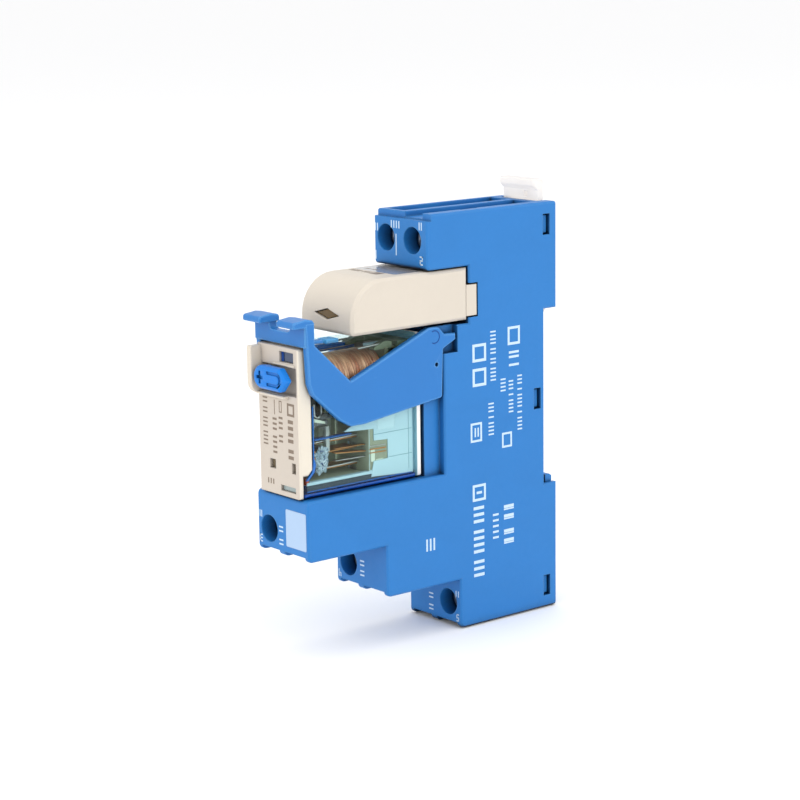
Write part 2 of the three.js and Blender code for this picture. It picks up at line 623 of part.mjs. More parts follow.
// ---- relay -------------------------------------------------------------------------
{
  // moulded base with its rear flange
  let s = join(
    box(-5.2, 5.2, -42.5, -31.0, -10.2, 1.9),
    box(-5.2, 5.2, -35.2, -31.0, 1.8, 15.2),
    extY(
      rounded([[-R, RELAY_LOW, 0.5], [R, RELAY_LOW, 0.5], [R, RELAY_TOP, 0.4], [-R, RELAY_TOP, 0.4]], 2),
      -31.6,
      FLANGE_BACK,
    ),
  );
  for (const k of [-1, 1])
    s = cut(s, box(k * COIL_PIN.x - 0.4, k * COIL_PIN.x + 0.4, -40, -30, 10.85, 13.55));
  for (const z of Object.values(PIN_Z)) s = cut(s, box(-1.35, 1.35, -43, -30, z - 0.4, z + 0.4));
  add("relay_base", s, "base_cyan");
}
{
  // clear case, open at the back
  const shell = (t) => [
    [t ? -30 : CASE_BACK, RELAY_LOW + t],
    [t ? -30 : CASE_BACK, RELAY_TOP - t],
    [CASE_FRONT + t, RELAY_TOP - t],
    [CASE_FRONT + t, -6.3],
    [-57.1 + t, -7.5],
    [-58.2 + t, -7.5],
    [-58.2 + t, RELAY_LOW + t],
  ];
  const t = 0.7;
  const inner = [
    [-30, RELAY_LOW + t], [-30, RELAY_TOP - t], [CASE_FRONT + t, RELAY_TOP - t], [CASE_FRONT + t, -6.6],
    [-57.1 + t, -8.2], [-57.5, -8.2], [-57.5, RELAY_LOW + t],
  ];
  let s = cut(extX(shell(0), -R, R, 0.3), extX(inner, -R + t, R - t));
  s = cut(
    s,
    cylY(BUTTON.x, BUTTON.z, 1.6, -58, -54, 20),
    box(0.8, 5.0, -58, -54, 13.7, 15.3),
  );
  add("relay_case", s, "case_clear");
}
{
  // front cover with its skirt, the guard rib and the recess for the test lever
  let s = extX(
    [
      [COVER_FRONT, -11.4], [-58.5, -11.4], [-58.5, -7.2], [-57.4, -7.2], [-56.4, -6.2],
      [-56.4, 16.55], [COVER_FRONT, 16.55],
    ],
    -R,
    R,
    0.3,
  );
  s = cut(
    s,
    box(-R + 0.75, R - 0.75, -58.3, -55, -6.0, 15.9),
  );
  s = join(s, box(-R + 0.4, R - 0.4, -58.4, -57.0, 6.9, 13.6));
  s = cut(
    s,
    box(-4.8, 5.75, COVER_FRONT - 1, -58.0, 7.7, 13.05),
    cylY(BUTTON.x, BUTTON.z, 1.6, -60, -55, 20),
    box(0.75, 5.0, -61, -57.5, 13.75, 15.75),
    box(-2.9, -1.1, -61, -56, -6.7, -4.9),
    box(3.9, 5.05, -61, -56, -6.8, -4.8),
    box(0.35, 4.9, -61, -57, -10.5, -9.4),
  );
  s = join(
    s,
    extX(rounded([[-58.7, 7.15], [-61.9, 7.15, 2.2], [-61.9, 16.2, 0.3], [-58.7, 16.2]]), -R + 0.05, -4.85, 0.1),
    extX(rounded([[-58.7, 7.12], [-60.6, 7.12, 0.25], [-60.6, 7.62, 0.2], [-58.7, 7.62]]), -5.3, 3.4),
    extX(rounded([[-59.0, 13.1], [-59.72, 13.1, 0.1], [-59.72, 13.5, 0.1], [-59.0, 13.5]]), -1.0, 5.4),
  );
  add("relay_front_cover", s, "beige");
}
{
  // test plunger and the lever on it
  add(
    "test_plunger",
    join(
      cylY(BUTTON.x, BUTTON.z, 1.3, -59.4, -55.4, 20),
      cylY(BUTTON.x, BUTTON.z, 2.0, -59.55, -59.1, 20),
    ),
    "button_blue",
  );
  const [bx, bz] = [BUTTON.x, BUTTON.z];
  const outline = [];
  for (let i = 0; i <= 10; i++) {
    const a = Math.PI / 2 + (Math.PI * i) / 10;
    outline.push([bx + 2.2 * Math.cos(a), bz + 2.2 * Math.sin(a)]);
  }
  outline.push([3.4, bz - 2.2], [5.45, bz], [3.4, bz + 2.2]);
  let s = extY(outline, -61.9, -59.8, 0.5);
  s = cut(
    s,
    box(bx - 0.3, bx + 0.3, -63, -61.2, bz - 1.2, bz + 1.2),
    box(bx - 1.0, bx + 1.0, -63, -61.2, bz - 0.3, bz + 0.3),
  );
  // U-shaped groove in the face
  const groove = cut(
    extY(rounded([[-0.2, bz - 1.35], [4.1, bz - 1.35, 1.3], [4.1, bz + 1.35, 1.3], [-0.2, bz + 1.35]]), -63, -61.55),
    extY(rounded([[-0.4, bz - 0.8], [3.5, bz - 0.8, 0.78], [3.5, bz + 0.8, 0.78], [-0.4, bz + 0.8]]), -64, -61),
  );
  add("test_lever", cut(s, groove), "button_blue");
}
{
  // bobbin, winding, core and yoke
  const f = 0.8;
  const bobbin = cut(
    join(
      box(-5.2, 5.2, -52.6, -52.6 + f, 3.8, 14.3),
      box(-5.2, 5.2, -38.3, -37.5, 3.8, 14.3),
      cylY(0, COIL_Z, 2.9, -52.3, -37.7, 24),
    ),
    cylY(0, COIL_Z, 2.2, -54, -36, 24),
  );
  add("coil_bobbin", bobbin, "white");
  add(
    "coil_winding",
    cut(cylY(0, COIL_Z, COIL_R, -51.6, -38.5, 32), cylY(0, COIL_Z, 3.1, -53, -37, 24)),
    "copper",
  );
  add("coil_core", join(cylY(0, COIL_Z, 2.0, -52.8, -35.9, 20), cylY(0, COIL_Z, 2.9, -52.98, -52.7, 24)), "iron");
  add(
    "coil_yoke",
    cut(
      join(box(-4.2, 4.2, -53.5, -36.1, 2.4, 3.5), box(-4.2, 4.2, -37.2, -36.1, 2.4, 13.4)),
      cylY(0, COIL_Z, 2.15, -38, -35, 20),
    ),
    "iron",
  );
}
{
  // clapper armature: it leans on the front edge of the yoke
  add(
    "armature",
    join(
      box(-3.9, 3.9, -54.9, -53.9, 0.9, 13.6),
      box(-2.6, 2.6, -54.9, -50.0, 0.9, 1.8),
    ),
    "iron",
  );
  add("indicator_flag", box(0.9, 4.9, -54.95, -53.95, 13.75, 15.55), "orange");
  add(
    "armature_spring",
    join(
      box(-1.1, 1.1, -55.3, -55.1, 1.2, 7.0),
      box(-1.1, 1.1, -55.3, -51.6, 0.3, 0.5),
      box(-1.1, 1.1, -55.3, -55.1, 0.3, 1.4),
    ),
    "spring",
  );
  const card = cut(box(-3.2, 3.2, -51.0, -50.2, -4.1, 0.75), box(-2.4, 2.4, -52, -49, -3.5, 0.15));
  add("driver_card", card, "white");
}
{
  // contact set: upper fixed blade, moving blade, lower fixed blade
  const blade = (z, x) => cut(box(-x, x, -55.1, BLADE_ROOT, z - 0.125, z + 0.125), cylY(0, 0, 0.1, 0, 1, 6));
  const hole = (z) => solid(new THREE.CylinderGeometry(0.72, 0.72, 2, 12).rotateX(Math.PI / 2).translate(0, CONTACT_Y, z));
  const rivet = (z0, z1, zb) =>
    solid(
      new THREE.LatheGeometry(
        [
          [0, z0], [0.7, z0], [0.95, z0 + 0.2], [0.95, zb - 0.175], [0.6, zb - 0.175], [0.6, zb + 0.175],
          [0.95, zb + 0.175], [0.95, z1 - 0.2], [0.7, z1], [0, z1],
        ].map(([r, z]) => new THREE.Vector2(r, z)),
        16,
      )
        .rotateX(Math.PI / 2)
        .translate(0, CONTACT_Y, 0),
    );
  add("nc_contact_blade", cut(box(-1.9, 1.9, -55.1, BLADE_ROOT, -2.6, -2.35), hole(-2.475)), "spring");
  add("nc_contact_rivet", rivet(-3.2, -1.9, -2.475), "silver");
  add("moving_contact_blade", cut(box(-1.9, 1.9, -55.1, BLADE_ROOT, -4.6, -4.35), hole(-4.475)), "spring");
  add("moving_contact_rivet", rivet(-5.6, -3.35, -4.475), "silver");
  add("no_contact_blade", cut(box(-1.9, 1.9, -55.1, BLADE_ROOT, -7.75, -7.5), hole(-7.625)), "spring");
  add("no_contact_rivet", rivet(-8.2, -6.15, -7.625), "silver");
  for (const [id, k] of [["a1", -1], ["a2", 1]])
    add("relay_pin_" + id, box(k * COIL_PIN.x - 0.25, k * COIL_PIN.x + 0.25, -35.0, PIN_END, 11.0, 13.4), "silver");
  for (const [id, z] of Object.entries(PIN_Z))
    add("relay_pin_" + id, box(-1.2, 1.2, -42.3, PIN_END, z - 0.25, z + 0.25), "silver");
}

export default part;
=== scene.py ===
import bpy, bmesh, json, math, random
from mathutils import Matrix, Vector


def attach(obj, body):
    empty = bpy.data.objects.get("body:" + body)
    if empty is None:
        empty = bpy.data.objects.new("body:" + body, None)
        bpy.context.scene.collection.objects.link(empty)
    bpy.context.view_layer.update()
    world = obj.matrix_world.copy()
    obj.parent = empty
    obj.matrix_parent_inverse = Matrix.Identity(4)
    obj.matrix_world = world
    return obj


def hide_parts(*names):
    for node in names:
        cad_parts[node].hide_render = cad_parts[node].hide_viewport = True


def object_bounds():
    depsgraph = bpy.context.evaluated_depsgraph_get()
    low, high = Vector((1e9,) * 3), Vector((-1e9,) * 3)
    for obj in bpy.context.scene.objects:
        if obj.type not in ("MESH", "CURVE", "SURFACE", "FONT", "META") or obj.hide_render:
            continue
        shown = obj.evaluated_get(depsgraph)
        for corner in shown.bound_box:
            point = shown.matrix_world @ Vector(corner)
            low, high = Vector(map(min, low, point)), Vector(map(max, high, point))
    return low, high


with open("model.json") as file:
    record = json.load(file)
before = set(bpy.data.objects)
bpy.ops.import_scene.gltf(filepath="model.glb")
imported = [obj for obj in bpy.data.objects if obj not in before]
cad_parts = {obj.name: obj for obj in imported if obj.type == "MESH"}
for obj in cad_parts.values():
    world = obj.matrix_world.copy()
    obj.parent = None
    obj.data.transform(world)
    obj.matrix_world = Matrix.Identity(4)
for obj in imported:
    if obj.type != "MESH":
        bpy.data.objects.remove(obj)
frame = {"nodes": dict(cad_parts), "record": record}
CAD_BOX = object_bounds()
NODES = frame["nodes"]
MM = 0.001
random.seed(7)

# ---------------------------------------------------------------- camera
def camera():
    az, el, roll = (math.radians(v) for v in (50.79079283972684, 11.334189645145083, -0.8217343070637656))
    fwd = Vector((-math.sin(az) * math.cos(el), math.cos(az) * math.cos(el), -math.sin(el)))
    right = Vector((math.cos(az), math.sin(az), 0.0))
    up = right.cross(fwd)
    r = right * math.cos(roll) + up * math.sin(roll)
    u = -right * math.sin(roll) + up * math.cos(roll)
    data = bpy.data.cameras.new("camera")
    data.sensor_width = 36.0
    data.lens = 102.105
    data.clip_start = 0.01
    data.clip_end = 100.0
    cam = bpy.data.objects.new("camera", data)
    bpy.context.scene.collection.objects.link(cam)
    m = Matrix((r, u, -fwd)).transposed().to_4x4()
    m.translation = Vector((0.3309976, -0.3005813, 0.0880966))
    cam.matrix_world = m
    bpy.context.scene.camera = cam

camera()

# ---------------------------------------------------------------- materials
def srgb(r, g, b):
    return tuple(c / 12.92 if c <= 0.04045 else ((c + 0.055) / 1.055) ** 2.4 for c in (r / 255, g / 255, b / 255)) + (1.0,)

class Nodes:
    """A short way to write a node tree."""
    def __init__(self, name):
        self.mat = bpy.data.materials.new(name)
        self.mat.use_nodes = True
        self.t = self.mat.node_tree
        self.t.nodes.clear()
        self.out = self.t.nodes.new("ShaderNodeOutputMaterial")
        self.coords = self.t.nodes.new("ShaderNodeTexCoord")
    def new(self, kind, **set_):
        n = self.t.nodes.new(kind)
        for k, v in set_.items():
            setattr(n, k, v)
        return n
    def link(self, a, b):
        self.t.links.new(a, b)
    def feed(self, socket, value):
        if isinstance(value, bpy.types.NodeSocket):
            self.link(value, socket)
        elif value is not None:
            socket.default_value = value
    def point(self, scale=(1, 1, 1)):
        m = self.new("ShaderNodeMapping")
        self.link(self.coords.outputs["Object"], m.inputs["Vector"])
        m.inputs["Scale"].default_value = scale
        return m.outputs["Vector"]
    def axis(self, which):
        s = self.new("ShaderNodeSeparateXYZ")
        self.link(self.coords.outputs["Object"], s.inputs[0])
        return s.outputs[which]
    def noise(self, scale, detail=3.0, rough=0.5, stretch=(1, 1, 1), distortion=0.0):
        n = self.new("ShaderNodeTexNoise")
        self.link(self.point(stretch), n.inputs["Vector"])
        n.inputs["Scale"].default_value = scale
        n.inputs["Detail"].default_value = detail
        n.inputs["Roughness"].default_value = rough
        n.inputs["Distortion"].default_value = distortion
        return n.outputs["Fac"]
    def voronoi(self, scale, stretch=(1, 1, 1)):
        n = self.new("ShaderNodeTexVoronoi")
        self.link(self.point(stretch), n.inputs["Vector"])
        n.inputs["Scale"].default_value = scale
        return n.outputs["Distance"]
    def remap(self, value, lo, hi, a=0.0, b=1.0):
        n = self.new("ShaderNodeMapRange")
        self.feed(n.inputs["Value"], value)
        n.inputs["From Min"].default_value = a
        n.inputs["From Max"].default_value = b
        n.inputs["To Min"].default_value = lo
        n.inputs["To Max"].default_value = hi
        return n.outputs["Result"]
    def mix(self, f, a, b, blend="MIX"):
        n = self.new("ShaderNodeMix", data_type="RGBA", blend_type=blend)
        self.feed(n.inputs["Factor"], f)
        self.feed(n.inputs[6], a)
        self.feed(n.inputs[7], b)
        return n.outputs[2]
    def math(self, op, a, b=0.5, clamp=False):
        n = self.new("ShaderNodeMath", operation=op, use_clamp=clamp)
        self.feed(n.inputs[0], a)
        self.feed(n.inputs[1], b)
        return n.outputs[0]
    def bump(self, height, distance, strength=1.0, normal=None):
        n = self.new("ShaderNodeBump")
        self.feed(n.inputs["Height"], height)
        n.inputs["Distance"].default_value = distance
        n.inputs["Strength"].default_value = strength
        if normal is not None:
            self.link(normal, n.inputs["Normal"])
        return n.outputs["Normal"]
    def edges(self, radius, gain):
        """0 on a flat face, towards 1 beside an edge."""
        b = self.new("ShaderNodeBevel", samples=4)
        b.inputs["Radius"].default_value = radius
        g = self.new("ShaderNodeNewGeometry")
        d = self.new("ShaderNodeVectorMath", operation="DOT_PRODUCT")
        self.link(b.outputs["Normal"], d.inputs[0])
        self.link(g.outputs["Normal"], d.inputs[1])
        return self.math("MULTIPLY", self.math("SUBTRACT", 1.0, d.outputs["Value"]), gain, True), b.outputs["Normal"]
    # painted shade: an occlusion test that finds where holes, grooves and gaps between parts lie in shade
    def occlusion_shade(self, distance, floor):
        """1 in the open, down to 0 deep in a hole or a groove; the floor argument is not used."""
        a = self.new("ShaderNodeAmbientOcclusion", samples=6)
        a.inputs["Distance"].default_value = distance
        return self.remap(a.outputs["AO"], 0.0, 1.0, 0.2, 0.7)
    def principled(self, **inputs):
        p = self.new("ShaderNodeBsdfPrincipled")
        for k, v in inputs.items():
            self.feed(p.inputs[k.replace("_", " ")], v)
        self.link(p.outputs["BSDF"], self.out.inputs["Surface"])
        return p

def shade(c, k):
    return tuple(min(1.0, v * k) for v in c[:3]) + (1.0,)

def plastic(name, base, light, rough=0.42, grain=5200, grain_mm=0.006, flow=0.06, edge=0.5, radius=0.22, gain=2.2, sss=0.0, coat=0.0, spec=0.5, tone_and_light_zones=(), ao=None):
    """Injection-moulded plastic: eroded grain, slow flow marks, faint scuffs and slightly paler, smoother edges, the
    paleness a painted highlight; with ao, holes and grooves are darkened by painted shade.
    """
    n = Nodes(name)
    slow = n.noise(90, 3, 0.55, (1, 1, 1.6), 0.6)
    fine = n.noise(900, 4, 0.6)
    for axis, at, beyond, paint in tone_and_light_zones:
        # a region painted in another tone, the moulding's own tone or painted light and shade: where the coordinate
        # lies beyond, or short of, the given place
        f = n.remap(n.axis(axis), 0.0, 1.0, at, at + 0.00005)
        base = n.mix(f if beyond else n.math("SUBTRACT", 1.0, f), base, paint)
    warm = n.mix(1.0, base, (1 + flow, 1 + flow, 1 + flow, 1), "MULTIPLY")
    cool = n.mix(1.0, base, (0.88, 0.88, 0.9, 1), "MULTIPLY")
    tone = n.mix(n.remap(slow, 0.0, 1.0, 0.3, 0.7), base, warm)
    tone = n.mix(n.remap(fine, 0.0, flow * 2.0, 0.35, 0.7), tone, cool)
    # hairline scuffs from handling
    scuff = n.remap(n.noise(700, 5, 0.75, (1, 0.12, 1), 1.2), 0.0, 1.0, 0.66, 0.74)
    painted_edge_mask, soft = n.edges(radius * MM, gain)
    # painted highlight: the edges are painted towards the light colour
    colour = n.mix(n.math("MULTIPLY", painted_edge_mask, edge), tone, light)
    colour = n.mix(n.math("MULTIPLY", scuff, 0.10), colour, light)
    # painted shade: holes, grooves and gaps between parts are painted darker, and bluer where the floor is low
    if ao:
        k = n.occlusion_shade(ao[0] * MM, ao[1])
        deep = n.mix(1.0, colour, (0.35, 0.5, 0.7, 1) if ao[1] < 0.2 else (0.8, 0.8, 0.8, 1), "MULTIPLY")
        colour = n.mix(k, n.mix(1.0, deep, (ao[1], ao[1], ao[1], 1), "MULTIPLY"), colour)
    r = n.math("ADD", n.remap(fine, rough - 0.05, rough + 0.06, 0.3, 0.7), n.math("MULTIPLY", painted_edge_mask, -0.08))
    r = n.math("ADD", r, n.math("MULTIPLY", scuff, 0.06))
    grit = n.math("ADD", n.noise(grain, 2, 0.5), n.math("MULTIPLY", n.voronoi(grain * 0.55), 0.6))
    normal = n.bump(n.noise(260, 2, 0.4), 0.00004, 0.3, n.bump(grit, grain_mm * MM, 0.55, soft))
    p = n.principled(Base_Color=colour, Roughness=r, Normal=normal, Coat_Weight=coat, Coat_Roughness=0.2)
    p.inputs["Specular IOR Level"].default_value = spec
    p.inputs["Subsurface Weight"].default_value = sss
    p.inputs["Subsurface Radius"].default_value = (0.0012, 0.0012, 0.0014)
    p.inputs["Subsurface Scale"].default_value = 1.0
    return n.mat

def metal(name, base, rough, stretch=(1, 1, 1), scale=2600, stain=None, amount=0.25, line_mm=0.004):
    """Drawn, stamped or plated metal: brushed direction by a stretched noise, handling marks and a faint stain."""
    n = Nodes(name)
    brush = n.noise(scale, 3, 0.6, stretch)
    slow = n.noise(260, 4, 0.6, (1, 1, 1), 0.4)
    painted_edge_mask, soft = n.edges(0.12 * MM, 2.0)
    colour = n.mix(n.remap(slow, 0.0, amount, 0.4, 0.68), base, stain or shade(base, 0.6))
    # painted highlight: the edges are painted brighter than the metal
    colour = n.mix(n.math("MULTIPLY", painted_edge_mask, 0.35), colour, shade(base, 1.25))
    r = n.remap(brush, rough - 0.06, rough + 0.12, 0.3, 0.7)
    normal = n.bump(brush, line_mm * MM, 0.6, soft)
    n.principled(Base_Color=colour, Metallic=1.0, Roughness=r, Normal=normal)
    return n.mat

def clear(name, tint, edge_tint_and_reflection, rough=0.03, ior=1.5, milk=0.0, milk_colour=None, strength=0.38, painted_shelf_reflection=None):
    """Thin clear moulded plastic: what is behind shows straight through, gloss lies on top, and the edges are painted
    in another colour, partly the plastic's own tint seen edge on and partly a painted reflection of what is around it.
    """
    n = Nodes(name)
    flow = n.noise(120, 2, 0.5, (1, 1, 2.5), 0.8)
    scuff = n.noise(1500, 3, 0.6, (1, 6, 1))
    painted_edge_mask, soft = n.edges(0.45 * MM, 1.6)
    through = n.new("ShaderNodeBsdfTransparent")
    # edges painted in the edge colour: the plastic's tint seen edge on, and a painted reflection
    colour = n.mix(painted_edge_mask, tint, edge_tint_and_reflection)
    if painted_shelf_reflection:
        # the lowest wall is painted in the blue of the shelf it stands on: a painted reflection of the shelf seen
        # through the bottom wall
        low = n.remap(n.axis(2), 1.0, 0.0, painted_shelf_reflection[0], painted_shelf_reflection[0] + 0.00005)
        colour = n.mix(low, colour, painted_shelf_reflection[1])
    n.feed(through.inputs["Color"], colour)
    gloss = n.new("ShaderNodeBsdfGlossy")
    gloss.inputs["Color"].default_value = (1, 1, 1, 1)
    n.feed(gloss.inputs["Roughness"], n.remap(scuff, rough, rough + 0.07, 0.5, 0.75))
    n.feed(gloss.inputs["Normal"], n.bump(flow, 0.00005, 0.3, soft))
    fresnel = n.new("ShaderNodeFresnel")
    fresnel.inputs["IOR"].default_value = ior
    m = n.new("ShaderNodeMixShader")
    back = n.new("ShaderNodeNewGeometry")
    outer = n.math("SUBTRACT", 1.0, back.outputs["Backfacing"])
    n.link(n.math("MULTIPLY", n.math("MULTIPLY", fresnel.outputs["Fac"], strength, True), outer), m.inputs["Fac"])
    n.link(through.outputs["BSDF"], m.inputs[1])
    n.link(gloss.outputs["BSDF"], m.inputs[2])
    last = m.outputs["Shader"]
    if milk:
        body = n.new("ShaderNodeBsdfPrincipled")
        n.feed(body.inputs["Base Color"], milk_colour)
        body.inputs["Roughness"].default_value = 0.25
        k = n.new("ShaderNodeMixShader")
        n.link(n.math("ADD", n.math("MULTIPLY", painted_edge_mask, 0.25), milk, True), k.inputs["Fac"])
        n.link(last, k.inputs[1])
        n.link(body.outputs["BSDF"], k.inputs[2])
        last = k.outputs["Shader"]
    # painted reflection of the shelf, continued: a blue body mixed into the lowest wall
    if painted_shelf_reflection:
        body = n.new("ShaderNodeBsdfPrincipled")
        n.feed(body.inputs["Base Color"], n.mix(n.remap(flow, 0.0, 1.0, 0.35, 0.65), painted_shelf_reflection[2], shade(painted_shelf_reflection[2], 1.4)))
        body.inputs["Roughness"].default_value = 0.2
        k = n.new("ShaderNodeMixShader")
        n.link(n.math("MULTIPLY", low, 0.6), k.inputs["Fac"])
        n.link(last, k.inputs[1])
        n.link(body.outputs["BSDF"], k.inputs[2])
        last = k.outputs["Shader"]
    n.link(last, n.out.inputs["Surface"])
    return n.mat

def ink(name, colour, cover=0.9):
    """Pad-printed ink: slightly uneven, a little glossier than the plastic under it."""
    n = Nodes(name)
    f = n.remap(n.noise(3200, 3, 0.6), 0.0, 1 - cover, 0.45, 0.7)
    n.principled(Base_Color=n.mix(f, colour, shade(colour, 0.7)), Roughness=n.remap(n.noise(1200), 0.35, 0.5))
    return n.mat

BLUE = srgb(35, 112, 180)
MAT = {
    "socket_blue": plastic("socket_blue", BLUE, srgb(84, 158, 222), 0.46, 4200, 0.008, 0.05, 0.42, radius=0.42, gain=2.8, spec=0.3, ao=(3.6, 0.07)),
    "clip_blue": plastic("clip_blue", srgb(31, 108, 178), srgb(116, 184, 240), 0.38, 5200, 0.004, 0.04, 0.7, radius=0.48, gain=6.0, spec=0.35, ao=(1.6, 0.3)),
    "button_blue": plastic("button_blue", srgb(16, 116, 204), srgb(92, 172, 242), 0.34, 6000, 0.003, 0.03, 0.4, spec=0.25, ao=(1.2, 0.25)),
    "beige": plastic("beige", srgb(199, 190, 177), srgb(226, 219, 208), 0.46, 4600, 0.006, 0.03, 0.45, sss=0.04, spec=0.35, ao=(2.0, 0.45)),
    # painted shade: above 3 mm the base is painted dark olive, where it lies in shade under the module; the other bands
    # are given in other tones
    "base_cyan": plastic("base_cyan", srgb(182, 211, 219), srgb(204, 228, 232), 0.4, 4600, 0.004, 0.03, 0.3, spec=0.2, tone_and_light_zones=(
        (2, 0.0030, True, srgb(112, 122, 98)), (1, -0.04243, False, srgb(176, 182, 156)), (1, -0.0322, True, srgb(140, 184, 196)), (1, -0.03156, True, srgb(228, 227, 224)))),
    # painted light: the cover's front face and its right side are painted lighter than the rest of the cover
    "cover_beige": plastic("cover_beige", srgb(191, 181, 169), srgb(222, 214, 203), 0.46, 4600, 0.006, 0.03, 0.5, radius=0.3, gain=3.0, sss=0.04, spec=0.35, ao=(1.2, 0.62), tone_and_light_zones=(
        (1, -0.05965, False, srgb(209, 199, 183)), (0, 0.00595, True, srgb(212, 204, 189)))),
    # painted shade: a darker copy for the contact recess, which faces the key light
    "recess_shade": plastic("recess_shade", srgb(146, 150, 128), srgb(170, 174, 152), 0.5, 4200, 0.006, 0.25, 0.3, spec=0.2),
    "carrier": plastic("carrier", srgb(186, 214, 222), srgb(206, 230, 236), 0.4, 4600, 0.004, 0.02, 0.3, spec=0.15),
    "carrier_line": plastic("carrier_line", srgb(128, 166, 178), srgb(150, 186, 196), 0.4, 4600, 0.002, 0.02, 0.2, spec=0.15),
    "carrier_panel": plastic("carrier_panel", srgb(196, 222, 228), srgb(206, 230, 236), 0.4, 4600, 0.002, 0.02, 0.2, spec=0.15),
    "bobbin": plastic("bobbin", srgb(120, 118, 92), srgb(168, 168, 142), 0.4, 4600, 0.004, 0.06, 0.35, spec=0.35),
    "pane_navy": plastic("pane_navy", srgb(40, 58, 88), srgb(88, 112, 148), 0.15, 5200, 0.001, 0.2, 0.5, spec=0.6),
    "pane_brown": plastic("pane_brown", srgb(98, 86, 66), srgb(150, 136, 112), 0.2, 5200, 0.001, 0.2, 0.5, spec=0.5),
    "pane_pale": plastic("pane_pale", srgb(150, 164, 164), srgb(196, 208, 208), 0.2, 5200, 0.001, 0.1, 0.5, spec=0.5),
    "bright_blue": plastic("bright_blue", srgb(24, 98, 178), srgb(70, 150, 226), 0.3, 5200, 0.002, 0.05, 0.6, spec=0.4),
    "white": plastic("white", srgb(196, 200, 192), srgb(226, 228, 222), 0.42, 4600, 0.004, 0.03, 0.3, sss=0.05, spec=0.35),
    "orange": plastic("orange", srgb(196, 74, 34), srgb(232, 124, 74), 0.36, 5200, 0.003, 0.03, 0.3),
    "dark": plastic("dark", srgb(30, 31, 34), srgb(64, 66, 70), 0.45, 4200, 0.006, 0.1, 0.3),
    "pcb": plastic("pcb", srgb(34, 84, 52), srgb(82, 130, 88), 0.38, 3800, 0.004, 0.15, 0.3),
    "brass": metal("brass", srgb(196, 158, 84), 0.3, (1, 8, 1)),
    "spring": metal("spring", srgb(196, 140, 88), 0.34, (1, 10, 1)),
    "zinc": metal("zinc", srgb(168, 170, 174), 0.34, (1, 1, 1), 3000),
    "iron": metal("iron", srgb(120, 124, 122), 0.45, (1, 1, 6), 2400, srgb(92, 92, 86)),
    "silver": metal("silver", srgb(204, 204, 200), 0.3, (1, 8, 1)),
    "case_clear": clear("case_clear", srgb(244, 250, 250), srgb(96, 158, 216), 0.02, 1.5, painted_shelf_reflection=(-0.01062, srgb(70, 140, 220), srgb(18, 86, 176))),
    "clear_blue": clear("clear_blue", srgb(150, 208, 240), srgb(60, 150, 210), 0.06, 1.5, 0.4, srgb(90, 168, 214)),
    "lens": clear("lens", srgb(200, 160, 96), srgb(88, 58, 28), 0.08, 1.5, 0.6, srgb(124, 98, 52)),
    "grey_green": plastic("grey_green", srgb(182, 190, 164), srgb(206, 212, 190), 0.5, 4200, 0.006, 0.2, 0.3, spec=0.2),
    "well_rib": plastic("well_rib", srgb(214, 222, 202), srgb(228, 234, 216), 0.5, 4200, 0.006, 0.1, 0.3, spec=0.2),
    "dim": plastic("dim", srgb(64, 76, 84), srgb(96, 112, 122), 0.45, 4200, 0.006, 0.1, 0.2, spec=0.2),
    "pale_blue": plastic("pale_blue", srgb(150, 172, 186), srgb(206, 220, 228), 0.22, 5200, 0.004, 0.12, 0.5, spec=0.6),
    "deep_blue": plastic("deep_blue", srgb(10, 60, 134), srgb(34, 100, 180), 0.4, 4200, 0.004, 0.04, 0.3, spec=0.25),
    "ink_blue": ink("ink_blue", srgb(186, 208, 226), 0.92),
    "ink_brown": ink("ink_brown", srgb(120, 104, 88), 0.85),
    "patch": plastic("patch", srgb(164, 188, 216), srgb(190, 208, 228), 0.6, 6000, 0.003, 0.02, 0.1, spec=0.25),
    "shaded_film": plastic("shaded_film", srgb(150, 148, 148), srgb(190, 188, 188), 0.18, 6000, 0.001, 0.06, 0.1, coat=0.5),
}

def natural():
    """Unfilled white nylon: light soaks through it, so thin walls stay bright; the edges are painted near white, a
    painted highlight.
    """
    n = Nodes("natural")
    slow = n.noise(240, 3, 0.55, (1, 1, 1.6), 0.6)
    fine = n.noise(4600, 2, 0.5)
    painted_edge_mask, soft = n.edges(0.25 * MM, 2.2)
    tone = n.mix(n.remap(slow, 0.0, 1.0, 0.3, 0.7), srgb(238, 235, 232), srgb(246, 244, 241))
    normal = n.bump(fine, 0.004 * MM, 0.5, soft)
    body = n.new("ShaderNodeBsdfPrincipled")
    # painted highlight: the edges are painted near white
    n.feed(body.inputs["Base Color"], n.mix(n.math("MULTIPLY", painted_edge_mask, 0.6), tone, srgb(250, 250, 250)))
    n.feed(body.inputs["Roughness"], n.remap(fine, 0.32, 0.44, 0.3, 0.7))
    n.feed(body.inputs["Normal"], normal)
    body.inputs["Specular IOR Level"].default_value = 0.35
    glow = n.new("ShaderNodeBsdfTranslucent")
    glow.inputs["Color"].default_value = srgb(252, 249, 246)
    through = n.new("ShaderNodeBsdfTransparent")
    through.inputs["Color"].default_value = srgb(253, 250, 247)
    a, b = n.new("ShaderNodeMixShader"), n.new("ShaderNodeMixShader")
    a.inputs["Fac"].default_value = 0.45
    n.link(body.outputs["BSDF"], a.inputs[1]); n.link(glow.outputs["BSDF"], a.inputs[2])
    b.inputs["Fac"].default_value = 0.38
    n.link(a.outputs["Shader"], b.inputs[1]); n.link(through.outputs["BSDF"], b.inputs[2])
    n.link(b.outputs["Shader"], n.out.inputs["Surface"])
    return n.mat
MAT["natural"] = natural()

